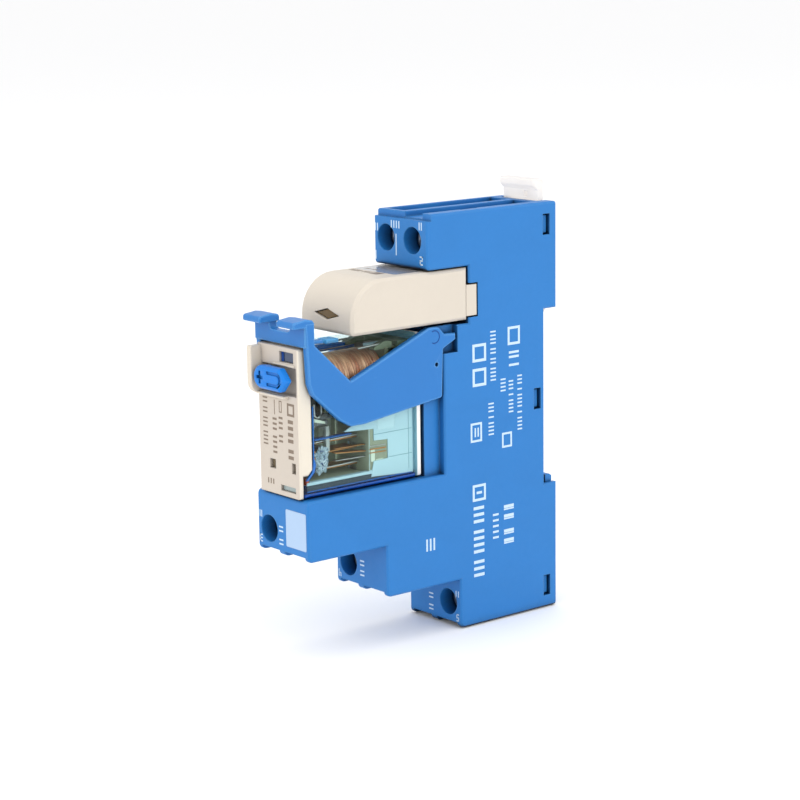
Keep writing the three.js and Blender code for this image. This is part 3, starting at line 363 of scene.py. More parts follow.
def enamelled():
    """Close-wound enamelled wire: tone changes from strand to strand, crossing layers, and a lacquer gloss."""
    n = Nodes("copper")
    turn = n.noise(1150, 2, 0.5, (0.12, 1, 0.12))
    strand = n.noise(3400, 2, 0.6, (0.08, 1, 0.08))
    patchy = n.noise(230, 3, 0.6, (1, 0.6, 1))
    colour = n.mix(n.remap(turn, 0.0, 1.0, 0.38, 0.62), srgb(194, 108, 72), srgb(255, 194, 152))
    colour = n.mix(n.remap(strand, 0.0, 0.75, 0.42, 0.62), colour, srgb(132, 68, 44))
    colour = n.mix(n.remap(patchy, 0.0, 0.35, 0.4, 0.7), colour, srgb(212, 146, 106))
    # towards the top the wire is painted a darker, duller brown: painted shade under the module
    colour = n.mix(n.remap(n.axis(2), 0.0, 0.55, 0.0120, 0.0138), colour, srgb(128, 104, 70))
    normal = n.bump(strand, 0.00004, 0.6, n.bump(turn, 0.00003, 0.4))
    n.principled(Base_Color=colour, Metallic=0.35, Roughness=n.remap(patchy, 0.28, 0.4), Normal=normal, Coat_Weight=0.3, Coat_Roughness=0.15)
    return n.mat
MAT["copper"] = enamelled()

def crumpled():
    """Thin clear-blue moulding seen edge on: pale, wet looking, with its creases painted dark, a painted shade."""
    n = Nodes("pale_blue")
    f = n.noise(1300, 3, 0.55, (1, 1, 1), 1.4)
    crease_shade = n.remap(n.math("ABSOLUTE", n.math("SUBTRACT", f, 0.5)), 1.0, 0.0, 0.008, 0.035)
    tone = n.mix(n.remap(n.noise(700, 3, 0.6), 0.0, 1.0, 0.35, 0.65), srgb(142, 166, 180), srgb(206, 222, 230))
    # painted shade: dark lines along the creases
    colour = n.mix(n.math("MULTIPLY", crease_shade, 0.85), tone, srgb(40, 62, 84))
    normal = n.bump(f, 0.0002, 0.8)
    n.principled(Base_Color=colour, Roughness=n.remap(f, 0.12, 0.3), Normal=normal, Coat_Weight=0.5, Coat_Roughness=0.06)
    return n.mat
MAT["pale_blue"] = crumpled()
SLOT = {s["node"]: s["material_slot"] for s in frame["record"]["subparts"]}

def dress(obj, mat):
    obj.data.materials.clear()
    obj.data.materials.append(MAT[mat] if isinstance(mat, str) else mat)

# ---------------------------------------------------------------- carried-over nodes
BEVEL = {"socket_housing": (0.16, 2), "rear_base": (0.12, 2), "retaining_clip": (0.14, 2), "rail_clip": (0.15, 2), "relay_front_cover": (0.10, 2),
         "test_lever": (0.12, 2), "relay_base": (0.15, 2), "module_base": (0.15, 2), "module_housing": (0.15, 2)}

def smooth_group():
    """Shades smooth, except across edges sharper than 28 degrees."""
    g = bpy.data.node_groups.new("smooth_by_angle", "GeometryNodeTree")
    g.interface.new_socket("Geometry", in_out="INPUT", socket_type="NodeSocketGeometry")
    g.interface.new_socket("Geometry", in_out="OUTPUT", socket_type="NodeSocketGeometry")
    i, o = g.nodes.new("NodeGroupInput"), g.nodes.new("NodeGroupOutput")
    faces = g.nodes.new("GeometryNodeSetShadeSmooth"); faces.domain = "FACE"
    edges = g.nodes.new("GeometryNodeSetShadeSmooth"); edges.domain = "EDGE"
    angle = g.nodes.new("GeometryNodeInputMeshEdgeAngle")
    more = g.nodes.new("FunctionNodeCompare"); more.data_type = "FLOAT"; more.operation = "GREATER_THAN"
    more.inputs["B"].default_value = math.radians(28)
    g.links.new(angle.outputs["Unsigned Angle"], more.inputs["A"])
    g.links.new(more.outputs["Result"], edges.inputs["Selection"])
    edges.inputs["Shade Smooth"].default_value = False
    g.links.new(i.outputs["Geometry"], faces.inputs["Geometry"])
    g.links.new(faces.outputs["Geometry"], edges.inputs["Geometry"])
    g.links.new(edges.outputs["Geometry"], o.inputs["Geometry"])
    return g
SMOOTH = smooth_group()

def surface(obj):
    """Area, unsound faces and open edges of the mesh as it renders."""
    e = obj.evaluated_get(bpy.context.evaluated_depsgraph_get())
    me = e.to_mesh()
    me.calc_loop_triangles()
    tri = [0.0] * len(me.polygons)
    for t in me.loop_triangles:
        tri[t.polygon_index] += t.area
    bad = sum(1 for p in me.polygons if tri[p.index] > p.area * 1.01 + 1e-10)
    bm = bmesh.new(); bm.from_mesh(me)
    loose = sum(1 for x in bm.edges if len(x.link_faces) != 2)
    bm.free()
    area = sum(tri)
    e.to_mesh_clear()
    return area, bad, loose

def finish_node(obj, width, segments, angle=24):
    """Rounds a faceted node's edges and lets its curves shade smoothly; where rounding would spoil a face, only the shading is smooth."""
    for p in obj.data.polygons:
        p.use_smooth = True
    w = obj.modifiers.new("weld", "WELD"); w.merge_threshold = 2e-6
    bpy.context.view_layer.update()
    area0, _, loose0 = surface(obj)
    for share in (1.0, 0.5):
        d = obj.modifiers.new("flat", "DECIMATE"); d.decimate_type = "DISSOLVE"; d.angle_limit = math.radians(0.6)
        b = obj.modifiers.new("round", "BEVEL")
        b.width = width * share * MM; b.segments = segments; b.limit_method = "ANGLE"; b.angle_limit = math.radians(angle)
        b.use_clamp_overlap = True; b.miter_outer = "MITER_ARC"; b.harden_normals = True
        t = obj.modifiers.new("faces", "TRIANGULATE"); t.quad_method = "BEAUTY"; t.ngon_method = "BEAUTY"; t.min_vertices = 5; t.keep_custom_normals = True
        bpy.context.view_layer.update()
        area, bad, loose = surface(obj)
        if bad == 0 and loose <= loose0 and 0.85 * area0 < area < 1.001 * area0:
            n = obj.modifiers.new("shade", "WEIGHTED_NORMAL"); n.keep_sharp = False; n.weight = 80
            return "rounded %.2f" % (width * share)
        for m in (d, b, t):
            obj.modifiers.remove(m)
    s = obj.modifiers.new("shade", "NODES"); s.node_group = SMOOTH
    return "shaded (bad %d, loose %d/%d, area %.4f)" % (bad, loose, loose0, area / area0)

for name, obj in NODES.items():
    dress(obj, {"coil_bobbin": "bobbin", "relay_front_cover": "cover_beige"}.get(name, SLOT[name]))
    print("finish", name, finish_node(obj, *BEVEL.get(name, (0.07, 2))))

# ---------------------------------------------------------------- building helpers, all in millimetres
AX = {"X": (1, 2, 0), "Y": (0, 2, 1), "Z": (0, 1, 2)}   # outline's two axes, then the axis it is drawn along

def put(name, me, mat, body, smooth=None):
    o = bpy.data.objects.new(name, me)
    bpy.context.scene.collection.objects.link(o)
    dress(o, mat)
    if smooth is not None:
        for p in me.polygons:
            p.use_smooth = True
        me.set_sharp_from_angle(angle=math.radians(smooth))
    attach(o, body)
    return o

def mesh_from(name, bm):
    bmesh.ops.recalc_face_normals(bm, faces=bm.faces)
    me = bpy.data.meshes.new(name)
    bm.to_mesh(me); bm.free()
    return me

def prism(name, outline, axis, lo, hi, mat, body, bevel=0.1, seg=2, slot=None, holes=()):
    """An outline drawn along an axis, with rounded edges."""
    a, b, w = AX[axis]
    bm = bmesh.new()
    def ring(t):
        out = []
        for p in outline:
            v = [0, 0, 0]; v[a], v[b], v[w] = p[0] * MM, p[1] * MM, t * MM
            out.append(bm.verts.new(v))
        return out
    r0, r1 = ring(lo), ring(hi)
    n = len(outline)
    for i in range(n):
        bm.faces.new((r0[i], r0[(i + 1) % n], r1[(i + 1) % n], r1[i]))
    bm.faces.new(r0); bm.faces.new(list(reversed(r1)))
    o = put(name, mesh_from(name, bm), mat, body, 30)
    if bevel:
        m = o.modifiers.new("round", "BEVEL")
        m.width = bevel * MM; m.segments = seg; m.limit_method = "ANGLE"; m.angle_limit = math.radians(30); m.harden_normals = True
    return o

def slab(name, x0, x1, y0, y1, z0, z1, mat, body, bevel=0.05, seg=2, slot=None):
    return prism(name, [(y0, z0), (y1, z0), (y1, z1), (y0, z1)], "X", x0, x1, mat, body, bevel, seg, slot)

def tube(name, pts, radius, mat, body, sides=10, closed=False, flat=1.0):
    """A round bar or wire along points."""
    bm = bmesh.new()
    P = [Vector(p) * MM for p in pts]
    n = len(P)
    rings = []
    up = Vector((0, 0, 1))
    for i, p in enumerate(P):
        d = (P[(i + 1) % n] - P[i - 1]) if closed or 0 < i < n - 1 else (P[1] - P[0] if i == 0 else P[-1] - P[-2])
        d.normalize()
        s = d.cross(up if abs(d.dot(up)) < 0.95 else Vector((1, 0, 0))).normalized()
        t = s.cross(d)
        rings.append([bm.verts.new(p + (s * math.cos(2 * math.pi * k / sides) + t * math.sin(2 * math.pi * k / sides) * flat) * radius * MM) for k in range(sides)])
    for i in range(n if closed else n - 1):
        A, B = rings[i], rings[(i + 1) % n]
        for k in range(sides):
            bm.faces.new((A[k], A[(k + 1) % sides], B[(k + 1) % sides], B[k]))
    if not closed:
        bm.faces.new(rings[0]); bm.faces.new(list(reversed(rings[-1])))
    return put(name, mesh_from(name, bm), mat, body, 60)

def spun(name, profile, centre, mat, body, axis="Y", sides=48, smooth=40, wobble=None):
    """A profile of (radius, place along the axis), closed on itself, turned round an axis."""
    a, b, w = {"Y": (0, 2, 1), "X": (1, 2, 0), "Z": (0, 1, 2)}[axis]
    bm = bmesh.new()
    rings = []
    for k in range(sides):
        t = 2 * math.pi * k / sides
        ring = []
        for i, (r, y) in enumerate(profile):
            if wobble:
                r, y = wobble(i, t, r, y)
            v = [0, 0, 0]
            v[a] = (centre[0] + r * math.cos(t)) * MM
            v[b] = (centre[1] + r * math.sin(t)) * MM
            v[w] = y * MM
            ring.append(bm.verts.new(v))
        rings.append(ring)
    n = len(profile)
    for k in range(sides):
        A, B = rings[k], rings[(k + 1) % sides]
        for i in range(n):
            bm.faces.new((A[i], A[(i + 1) % n], B[(i + 1) % n], B[i]))
    return put(name, mesh_from(name, bm), mat, body, smooth)

INK = 0.015
def marks(name, axis, face, sign, boxes, mat, body):
    """Flat printed bars on a face: axis is the face's normal, boxes are (a0, a1, b0, b1) on it."""
    a, b, w = AX[axis]
    bm = bmesh.new()
    for a0, a1, b0, b1 in boxes:
        v = []
        for t in (face - sign * 0.02, face + sign * INK):
            for p, q in ((a0, b0), (a1, b0), (a1, b1), (a0, b1)):
                c = [0, 0, 0]; c[a], c[b], c[w] = p * MM, q * MM, t * MM
                v.append(bm.verts.new(c))
        for f in ((0, 1, 2, 3), (4, 7, 6, 5), (0, 4, 5, 1), (1, 5, 6, 2), (2, 6, 7, 3), (3, 7, 4, 0)):
            bm.faces.new([v[i] for i in f])
    return put(name, mesh_from(name, bm), mat, body)

SEGMENTS = {"1": "bc", "2": "abged", "3": "abgcd", "4": "fgbc", "5": "afgcd"}
def digit(ch, x, z, h=1.5, turned=True):
    """Boxes of a plain digit on a front face, centred on x, z; turned reads right with the socket hung the other way up."""
    w, t = h * 0.52, h * 0.15
    S = {"a": (-w / 2, w / 2, h / 2 - t, h / 2), "g": (-w / 2, w / 2, -t / 2, t / 2), "d": (-w / 2, w / 2, -h / 2, -h / 2 + t),
         "f": (-w / 2, -w / 2 + t, 0, h / 2), "b": (w / 2 - t, w / 2, 0, h / 2), "e": (-w / 2, -w / 2 + t, -h / 2, 0), "c": (w / 2 - t, w / 2, -h / 2, 0)}
    out = []
    for s in SEGMENTS[ch]:
        a0, a1, b0, b1 = S[s]
        if turned:
            a0, a1, b0, b1 = -a1, -a0, -b1, -b0
        out.append((x + a0, x + a1, z + b0, z + b1))
    return out

# ---------------------------------------------------------------- socket: prints and the writing patch
def row(across, along, words, pitch=0.74, bar=0.3):
    """A line of plain bars that stands where a line of print was: across and along are ranges, words are bar counts."""
    a0, a1 = across
    z = along[1]
    out = []
    for count in words:
        for k in range(count):
            if z - bar < along[0]:
                return out
            out.append((a0, a1, z - bar, z))
            z -= pitch
        z -= pitch * 0.6
    return out

def frame_mark(a0, a1, b0, b1, t):
    """An open rectangle."""
    return [(a0, a1, b1 - t, b1), (a0, a1, b0, b0 + t), (a0, a0 + t, b0 + t, b1 - t), (a1 - t, a1, b0 + t, b1 - t)]

side = []
side += frame_mark(-18.9, -15.4, 9.3, 12.8, 0.55) + frame_mark(-18.9, -15.4, 4.5, 8.0, 0.55)
side += row((-14.3, -12.9), (3.4, 14.9), (4, 2, 2, 4))
side += frame_mark(-9.8, -6.6, 11.6, 15.2, 0.5) + [(-9.5, -6.9, 9.9, 10.35), (-9.5, -6.9, 9.0, 9.45), (-9.5, -6.9, 7.4, 7.85)]
side += row((-11.7, -10.4), (-3.2, 5.2), (4,), 0.74, 0.3)
side += row((-9.6, -8.4), (-4.0, 4.6), (3, 1, 4)) + frame_mark(-11.4, -8.8, -8.6, -5.6, 0.4)
side += row((-7.3, -6.1), (-9.0, 5.4), (3, 1, 4, 1, 4))
side += frame_mark(-19.5, -16.6, -6.4, -2.6, 0.42) + [(-18.5, -18.15, -5.4, -3.6), (-17.75, -17.4, -5.4, -3.6)]
side += row((-14.9, -13.5), (-8.6, 0.8), (3, 1, 4))
side += frame_mark(-19.1, -15.7, -18.2, -14.9, 0.5) + [(-18.1, -16.7, -16.8, -16.3)] + row((-18.9, -16.2), (-36.4, -19.3), (3, 4, 3), 1.32, 0.62)
side += row((-13.9, -12.4), (-28.4, -21.5), (5,), 1.15, 0.42)
side += row((-11.0, -8.4), (-29.6, -20.2), (2, 2), 1.9, 0.62) + row((-11.0, -8.4), (-29.6, -20.9), (2, 2), 1.9, 0.3)
marks("side_print", "X", 7.9, 1, side, "ink_blue", "socket")
marks("lot_print", "X", 7.9, 1, [(-31.0, -30.6, -26.0, -23.6), (-30.1, -29.7, -26.0, -23.6), (-29.2, -28.8, -26.0, -23.6)], "ink_blue", "socket")

front_top = digit("1", -7.05, 29.9, 1.7) + digit("2", 6.2, 29.9, 1.7) + [(-1.33, -1.07, 30.3, 34.4)]
for x, z in ((-7.1, 35.3), (6.0, 36.4)):
    front_top += [(x - 0.45, x - 0.18, z - 0.75, z + 0.75), (x + 0.18, x + 0.45, z - 0.75, z + 0.75)]
front_top += [(-2.7, -2.4, 35.5, 36.9), (-1.95, -1.65, 35.5, 36.9), (-1.2, -0.9, 35.5, 36.9), (-0.45, -0.15, 35.5, 36.9)]
marks("top_block_print", "Y", -29.95, -1, front_top, "ink_blue", "socket")
marks("front_block_print", "Y", -59.1, -1, digit("3", -6.85, -21.0, 1.5) + [(-7.25, -7.0, -16.9, -15.6), (-6.7, -6.45, -16.9, -15.6), (-1.15, 0.1, -17.9, -17.6), (-1.15, 0.1, -18.7, -18.4), (-1.15, 0.1, -20.4, -20.1), (-1.15, 0.1, -21.2, -20.9)], "ink_blue", "socket")
marks("middle_block_print", "Y", -40.6, -1, digit("4", -6.85, -31.3, 1.5) + [(-0.5, 0.75, -27.8, -27.5), (-0.5, 0.75, -28.6, -28.3), (-0.5, 0.75, -29.8, -29.5), (-0.5, 0.75, -30.6, -30.3)], "ink_blue", "socket")
marks("low_block_print", "Y", -22.25, -1, digit("5", 6.75, -41.2, 1.5) + [(6.2, 6.45, -37.0, -35.8), (6.9, 7.15, -37.0, -35.8), (-1.9, -0.6, -38.0, -37.7), (-1.9, -0.6, -38.8, -38.5), (-1.9, -0.6, -40.4, -40.1), (-1.9, -0.6, -41.2, -40.9)], "ink_blue", "socket")

def rounded_rect(x0, x1, z0, z1, r, steps=4):
    out = []
    for cx, cz, a0 in ((x1 - r, z1 - r, 0), (x0 + r, z1 - r, 90), (x0 + r, z0 + r, 180), (x1 - r, z0 + r, 270)):
        for k in range(steps + 1):
            a = math.radians(a0 + 90 * k / steps)
            out.append((cx + r * math.cos(a), cz + r * math.sin(a)))
    return out
prism("writing_patch", rounded_rect(1.05, 7.25, -21.15, -14.0, 0.3), "Y", -59.16, -59.0, "patch", "socket", 0.03, 1)

# ---------------------------------------------------------------- retaining clip: dark ring round each pivot, a painted shadow of the groove round the pin
for k, side_name in ((1, "right"), (-1, "left")):
    ring = []
    for i in range(31):
        a = math.radians(118 - 236 * i / 30)
        ring.append((k * 7.89, -28.35 + 1.2 * math.cos(a), 15.45 + 1.2 * math.sin(a)))
    tube("clip_pivot_shadow_ring_" + side_name, ring, 0.09, "deep_blue", "retaining_clip", 6, flat=1.0)

# ---------------------------------------------------------------- relay: the wound coil
def wound():
    y0, y1, turns, r = -51.6, -38.5, 22, 4.86
    pitch = (y1 - y0) / turns
    prof = [(3.15, y0)]
    jig = [random.uniform(-0.05, 0.05) for _ in range(turns)]
    for i in range(turns):
        c = y0 + (i + 0.5) * pitch
        for a in (-0.47, -0.33, -0.12, 0.12, 0.33, 0.47):
            prof.append((r + jig[i] + (math.sqrt(max(0, 0.25 - a * a)) - 0.25) * pitch * 0.55, c + a * pitch))
    prof += [(3.15, y1)]
    last = len(prof) - 1
    def wobble(i, t, rr, y):
        # each turn climbs one pitch on its way round, and the outer layer lies a little unevenly
        if 0 < i < last:
            y = min(y1 - 0.03, max(y0 + 0.03, y + pitch * 0.5 * math.sin(t)))
            rr = min(4.98, rr + 0.05 * math.sin(2 * t + i * 0.05) + 0.03 * math.sin(5 * t + i * 0.31))
        return rr, y
    o = spun("coil_winding_wound", prof, (0, 9.0), "copper", "relay", "Y", 64, smooth=75, wobble=wobble)
    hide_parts("coil_winding")
wound()
for k, nm in ((1, "a"), (-1, "b")):
    tube("coil_lead_" + nm, [(k * 4.3, -38.95, 5.6), (k * 4.55, -38.7, 4.6), (k * 4.6, -38.0, 3.4), (k * 4.5, -37.3, 2.3)], 0.14, "copper", "relay", 8)
# lugs on top of the bobbin that hold the wire ends
for k, nm in ((1, "right"), (-1, "left")):
    prism("bobbin_lug_" + nm, [(-40.6, 14.0), (-36.4, 14.0), (-36.4, 15.3), (-38.2, 15.5), (-40.6, 14.6)], "X", *sorted((k * 3.4, k * 5.0)), "base_cyan", "relay", 0.12, 2, "base_cyan")
    tube("bobbin_pin_" + nm, [(k * 4.6, -44.2, 14.75), (k * 4.6, -40.9, 14.95), (k * 4.6, -37.8, 15.05)], 0.2, "silver", "relay", 8)

# light tab across the top of the winding, and the shelf behind it
prism("bobbin_tab", rounded_rect(-40.4, -36.4, 14.35, 14.95, 0.2), "X", 1.2, 2.4, "carrier", "relay", 0.12, 2, "white")
prism("bobbin_shelf", [(-38.3, 13.6), (-35.4, 13.9), (-35.4, 14.4), (-38.3, 14.2)], "X", -3.0, 4.6, "bobbin", "relay", 0.08, 2, "white")
# rail of the bobbin along the top of the winding, on the far side
prism("bobbin_rail", [(-52.4, 13.3), (-38.0, 13.3), (-38.0, 14.3), (-44.0, 14.75), (-52.4, 14.75)], "X", -4.9, -4.0, "bright_blue", "relay", 0.1, 2, "white")
tube("bobbin_wire", [(-3.6, -51.4, 13.9), (-3.5, -46.0, 13.75), (-3.6, -41.5, 13.85), (-3.8, -38.9, 14.0)], 0.09, "silver", "relay", 6)

# ---------------------------------------------------------------- relay cover: panes in its windows
slab("flag_window", 0.8, 4.95, -58.9, -58.6, 13.8, 15.7, "pane_navy", "relay", 0.05, 2, "case_clear")
slab("flag_window_rim", 0.8, 1.5, -59.05, -58.9, 13.8, 15.7, "deep_blue", "relay", 0.05, 2, "case_clear")
slab("catch_window_left", -2.85, -2.0, -58.9, -58.6, -6.65, -4.95, "pane_brown", "relay", 0.04, 1, "case_clear")
slab("catch_window_right", -1.98, -1.15, -58.9, -58.6, -6.65, -4.95, "pane_pale", "relay", 0.04, 1, "case_clear")
slab("catch_window_side", 3.95, 5.0, -58.9, -58.6, -6.75, -4.85, "pane_brown", "relay", 0.04, 1, "case_clear")
slab("foot_window", 0.4, 4.85, -58.95, -58.6, -10.45, -9.45, "pane_pale", "relay", 0.04, 1, "case_clear")

# ---------------------------------------------------------------- relay: carrier, contact well and springs seen through the case
carrier = [(-42.2, -9.9), (-32.0, -10.5), (-32.0, 6.5), (-46.6, 6.5), (-46.6, 0.6), (-48.6, -0.35), (-41.45, -0.75), (-41.45, -3.0), (-38.1, -3.2), (-38.1, -6.85), (-41.5, -6.95)]
for k, s in ((1, "right"), (-1, "left")):
    prism("carrier_side_" + s, carrier, "X", *sorted((k * 5.22, k * 5.45)), "carrier", "relay", 0.05, 2, "base_cyan")
slab("carrier_floor", 4.3, 5.42, -57.3, -41.9, -9.3, -8.72, "carrier", "relay", 0.1, 2, "base_cyan")
slab("carrier_sole", 5.22, 5.4, -57.3, -32.2, -10.58, -9.34, "dim", "relay", 0.05, 1, "base_cyan")
# a bright blue strip along the foot: painted reflection of the blue shelf seen through the case's bottom wall
slab("carrier_shelf_reflection", 5.2, 5.46, -57.3, -32.2, -10.58, -10.3, "bright_blue", "relay", 0.05, 1, "base_cyan")
slab("well_floor", -4.9, 4.25, -57.2, -42.6, -9.5, -9.1, "grey_green", "relay", 0.08, 2, "base_cyan")
# the face of the contact recess, painted darker: painted shade
slab("contact_recess", 5.2, 5.215, -42.3, -37.9, -8.6, 0.2, "recess_shade", "relay", 0, 1, "base_cyan")
for i, (z0, z1, w) in enumerate(((-4.85, -4.6, "spring"), (-5.5, -5.3, "spring"), (-4.2, -4.05, "silver"))):
    prism("contact_recess_blade_%d" % i, [(-42.4, z0 + 0.1), (-38.5, z0), (-38.5, z1), (-42.4, z1 + 0.1)], "X", 5.2, 5.36, w, "relay", 0.04, 1, "spring")
for i, (y, z, a, b) in enumerate(((-40.3, -1.9, 0.8, 0.8), (-40.0, -7.4, 1.0, 0.7), (-41.6, -5.9, 0.5, 1.2))):
    prism("contact_recess_pad_%d" % i, rounded_rect(y - a, y + a, z - b, z + b, 0.3), "X", 5.2, 5.27, "well_rib", "relay", 0.03, 1, "base_cyan")
prism("contact_well", [(-55.4, -9.3), (-42.8, -9.3), (-42.8, 2.0), (-46.0, 4.2), (-51.0, 4.2), (-55.4, 2.0)], "X", -4.95, -4.6, "grey_green", "relay", 0.1, 2, "base_cyan")
for i, (y, w, z0, z1) in enumerate(((-53.2, 0.9, -8.8, -5.4), (-49.4, 1.3, -8.4, -4.8), (-45.6, 1.5, -4.2, 0.8), (-50.2, 1.6, -1.8, 0.2))):
    prism("contact_well_rib_%d" % i, rounded_rect(y - w, y + w, z0, z1, 0.5), "X", -4.65, -4.1, "well_rib", "relay", 0.3, 3, "base_cyan")
prism("barrier", [(-55.3, -1.05), (-46.8, -1.02), (-46.5, -0.92), (-46.8, -0.8), (-55.3, -0.8)], "X", 4.2, 5.35, "bright_blue", "relay", 0.06, 2, "base_cyan")
# moulded lines on the carrier
for i, (y0, z0, y1, z1) in enumerate(((-41.4, 2.2, -32.3, 2.2), (-41.4, -1.9, -32.3, -1.9), (-37.9, -6.7, -32.3, -6.7))):
    prism("carrier_line_%d" % i, [(y0, z0), (y1, z1), (y1, z1 + 0.1), (y0, z0 + 0.1)], "X", 5.44, 5.47, "carrier_line", "relay", 0, 1, "base_cyan")
prism("carrier_line_upright", [(-33.1, -9.6), (-33.0, -9.6), (-33.0, 6.2), (-33.1, 6.2)], "X", 5.44, 5.475, "carrier_line", "relay", 0, 1, "base_cyan")
prism("carrier_panel", [(-40.6, -1.2), (-36.4, -1.2), (-36.4, 1.5), (-40.6, 1.5)], "X", 5.44, 5.465, "carrier_panel", "relay", 0, 1, "base_cyan")
# blue lip of the case where the cover's skirt steps back
prism("case_lip", [(-55.9, -4.2), (-55.55, -5.4), (-55.9, -6.7), (-57.3, -8.1), (-57.9, -8.2), (-57.4, -7.6), (-56.5, -6.7), (-56.25, -5.6), (-56.1, -4.2)], "X", 5.6, 6.05, "bright_blue", "relay", 0.08, 2, "case_clear")
prism("case_edge_line", [(-56.1, -4.2), (-55.9, -4.2), (-55.9, 5.6), (-56.1, 5.6)], "X", 5.6, 6.0, "bright_blue", "relay", 0.04, 1, "case_clear")
prism("yoke_foot", [(-55.2, 2.4), (-52.6, 1.8), (-52.6, 2.25), (-55.2, 3.1)], "X", 3.6, 5.2, "well_rib", "relay", 0.08, 2, "base_cyan")
tube("spring_hook", [(4.4, -54.6, 5.6), (4.45, -54.5, 3.4), (4.45, -54.0, 2.9), (4.45, -53.3, 3.1), (4.45, -53.0, 3.8), (4.4, -52.9, 5.2)], 0.22, "silver", "relay", 8)

# rims of the fixed blades and springs that catch the light
for nm, z, x, y0, y1, mat, body in (("nc", -2.3, 2.05, -54.6, -42.9, "silver", "relay"), ("no", -7.45, 2.05, -54.6, -42.9, "silver", "relay")):
    prism(nm + "_blade_rim", [(y0, z - 0.02), (y1, z + 0.18), (y1, z + 0.45), (y0, z + 0.25)], "X", 1.95, 2.6, mat, body, 0.06, 2, "spring")
prism("moving_blade_spring", [(-49.9, -4.42), (-42.7, -5.02), (-42.7, -4.82), (-49.9, -4.17)], "X", 3.2, 4.6, "spring", "relay", 0.04, 1, "spring")
for i, z in enumerate((-3.6, -5.9)):
    prism("moving_blade_stay_%d" % i, [(-49.7, z), (-42.7, z - 0.16), (-42.7, z), (-49.7, z + 0.18)], "X", 3.4, 4.4, "silver" if i else "spring", "relay", 0.04, 1, "spring")
for i, z in enumerate((-3.35, -3.95, -4.6)):
    prism("contact_tip_%d" % i, rounded_rect(-55.35, -54.5, z - 0.22, z + 0.22, 0.2), "X", 3.0, 4.6, "spring" if i != 1 else "silver", "relay", 0.1, 2, "spring")

# leg of the card beside the contacts: a lumpy translucent moulding
def lumps(name, at, radius, mat, body, seed, rough=0.34):
    rng = random.Random(seed)
    bm = bmesh.new()
    bmesh.ops.create_icosphere(bm, subdivisions=4, radius=1.0)
    waves = [(Vector((rng.uniform(-1, 1), rng.uniform(-1, 1), rng.uniform(-1, 1))).normalized() * rng.uniform(3.0, 11.0), rng.uniform(0, 6.28), rng.uniform(0.4, 1.0)) for _ in range(9)]
    for v in bm.verts:
        k = sum(a * math.sin(w.dot(v.co) + p) for w, p, a in waves) / 4.0
        r = 1.0 + rough * max(-0.8, min(0.8, k))
        v.co = Vector([(at[i] + v.co[i] * radius[i] * r) * MM for i in range(3)])
    me = bpy.data.meshes.new(name)
    bm.to_mesh(me); bm.free()
    for p in me.polygons:
        p.use_smooth = True
    o = bpy.data.objects.new(name, me)
    bpy.context.scene.collection.objects.link(o)
    dress(o, mat)
    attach(o, body)
    return o
lumps("driver_card_leg", (3.42, -52.3, -5.4), (0.36, 1.4, 2.4), "pale_blue", "driver_card", 5, 0.42)
lumps("driver_card_leg_fold", (3.6, -51.7, -4.2), (0.3, 0.8, 1.1), "pale_blue", "driver_card", 11, 0.5)
lumps("driver_card_leg_toe", (3.6, -52.9, -7.1), (0.3, 0.75, 0.85), "pale_blue", "driver_card", 23, 0.5)
# dark lines on the leg: painted shade in its creases
for i, (cy, cz, r, a0, a1) in enumerate(((-52.6, -4.3, 0.75, -40, 110), (-51.6, -5.9, 0.8, 90, 250), (-52.9, -6.5, 0.6, -60, 80))):
    pts = [(3.78 + 0.1 * math.sin(q), cy + r * math.cos(math.radians(a0 + (a1 - a0) * q / 10)), cz + r * math.sin(math.radians(a0 + (a1 - a0) * q / 10))) for q in range(11)]
    tube("driver_card_crease_%d" % i, pts, 0.06, "deep_blue", "driver_card", 6)
slab("code_key", 3.6, 5.3, -57.35, -56.75, -9.2, -7.9, "orange", "relay", 0.08, 2, "orange")

# ---------------------------------------------------------------- relay cover: print
cov = row((-4.75, -3.35), (-7.4, 6.6), (2, 2, 3, 4))
cov += row((-1.8, -0.55), (-4.4, 3.0), (3, 4), 0.95, 0.42) + [(-1.25, -1.05, 3.6, 6.4)]
cov += row((0.1, 1.3), (-1.6, 3.4), (3, 2), 0.95, 0.42) + frame_mark(0.25, 1.1, 4.2, 6.4, 0.2)
cov += frame_mark(2.75, 4.95, 3.9, 6.3, 0.45) + row((2.9, 4.5), (-4.4, 3.2), (4, 2), 1.2, 0.68)
cov += [(-3.7, -3.35, -9.7, -8.7), (-2.9, -2.55, -9.7, -8.7), (-2.1, -1.75, -9.7, -8.7)]
marks("cover_print", "Y", -59.5, -1, cov, "ink_brown", "relay")
mod = [(x, x + 0.55, -44.0 + 0.0, -42.6) for x in (-5.6, -4.7, -3.8, -2.2, -1.3, -0.4, 0.5)]
mod = [(x, x + 0.5, -37.9, -36.6) for x in (-5.9, -5.1, -4.3, -3.5, -2.1, -1.3, -0.5)] + [(0.6, 3.0, -38.2, -36.3)] + [(x, x + 0.3, -34.6, -33.9) for x in (-5.2, -4.7, -4.2, -3.2, -2.7, -2.2, -1.7)]
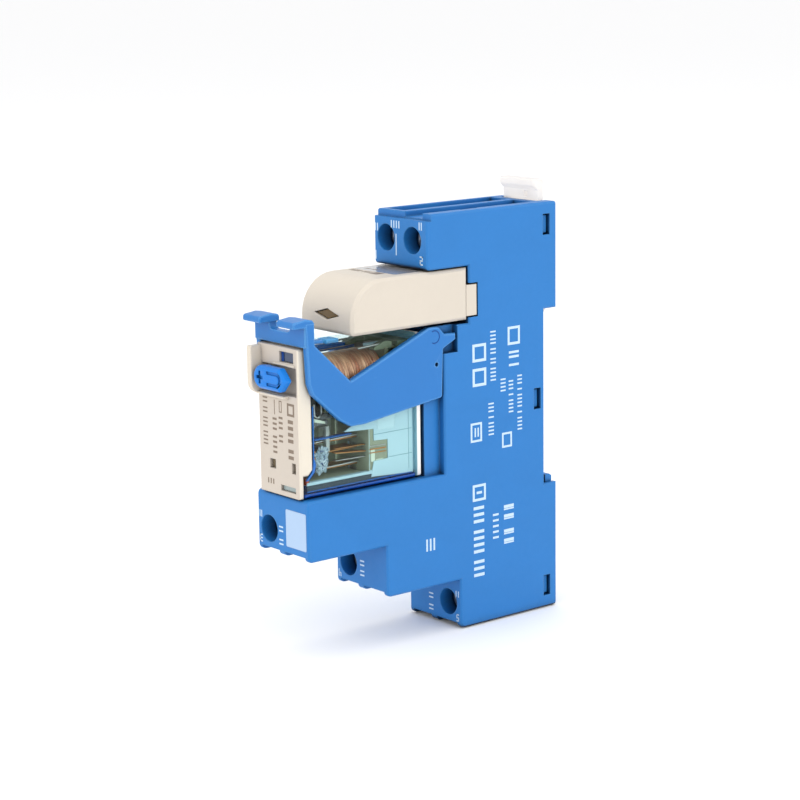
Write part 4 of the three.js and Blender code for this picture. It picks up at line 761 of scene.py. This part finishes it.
marks("module_print", "Z", 27.86, 1, mod, "ink_brown", "module")
# a glossy film on the module's top; its grey is painted shade and reflection of the blue block above, its gloss is real
prism("module_label", rounded_rect(-6.6, 5.6, -35.9, -21.0, 0.4), "Z", 27.84, 27.865, "shaded_film", "module", 0, 1, "beige")

# ---------------------------------------------------------------- stage
def stage():
    low = CAD_BOX[0][2]
    bm = bmesh.new()
    bmesh.ops.create_grid(bm, x_segments=1, y_segments=1, size=40.0)
    me = bpy.data.meshes.new("floor")
    bm.to_mesh(me); bm.free()
    floor = bpy.data.objects.new("floor", me)
    floor.location = (0, 0, low - 0.0002)
    bpy.context.scene.collection.objects.link(floor)
    n = Nodes("floor")
    n.principled(Base_Color=(0.93, 0.93, 0.935, 1), Roughness=n.remap(n.noise(3, 2), 0.8, 0.9))
    dress(floor, n.mat)

    world = bpy.data.worlds.new("world")
    bpy.context.scene.world = world
    world.use_nodes = True
    world.node_tree.nodes["Background"].inputs[0].default_value = (1, 1, 1, 1)
    world.node_tree.nodes["Background"].inputs[1].default_value = 1.04

    def area(name, at, aim, size, power, colour=(1, 1, 1)):
        data = bpy.data.lights.new(name, "AREA")
        data.shape = "RECTANGLE"
        data.size, data.size_y = size
        data.energy = power
        data.color = colour
        o = bpy.data.objects.new(name, data)
        o.matrix_world = (Vector(aim) - Vector(at)).to_track_quat("-Z", "Y").to_matrix().to_4x4()
        o.location = at
        bpy.context.scene.collection.objects.link(o)
    area("key", (0.80, 0.05, 0.35), (0, -0.03, 0), (0.8, 0.8), 2.5)
    area("top", (0.1, 0.0, 0.9), (0, -0.03, 0), (1.0, 1.0), 2.7)
    area("front", (-0.25, -0.95, 0.30), (0, -0.03, 0), (0.7, 0.7), 2.3)

stage()

scene = bpy.context.scene
scene.view_settings.view_transform = "Standard"
scene.view_settings.look = "None"
scene.cycles.use_denoising = True
scene.cycles.max_bounces = 14
scene.cycles.transmission_bounces = 8
scene.cycles.transparent_max_bounces = 24
scene.cycles.caustics_reflective = False
scene.cycles.caustics_refractive = False
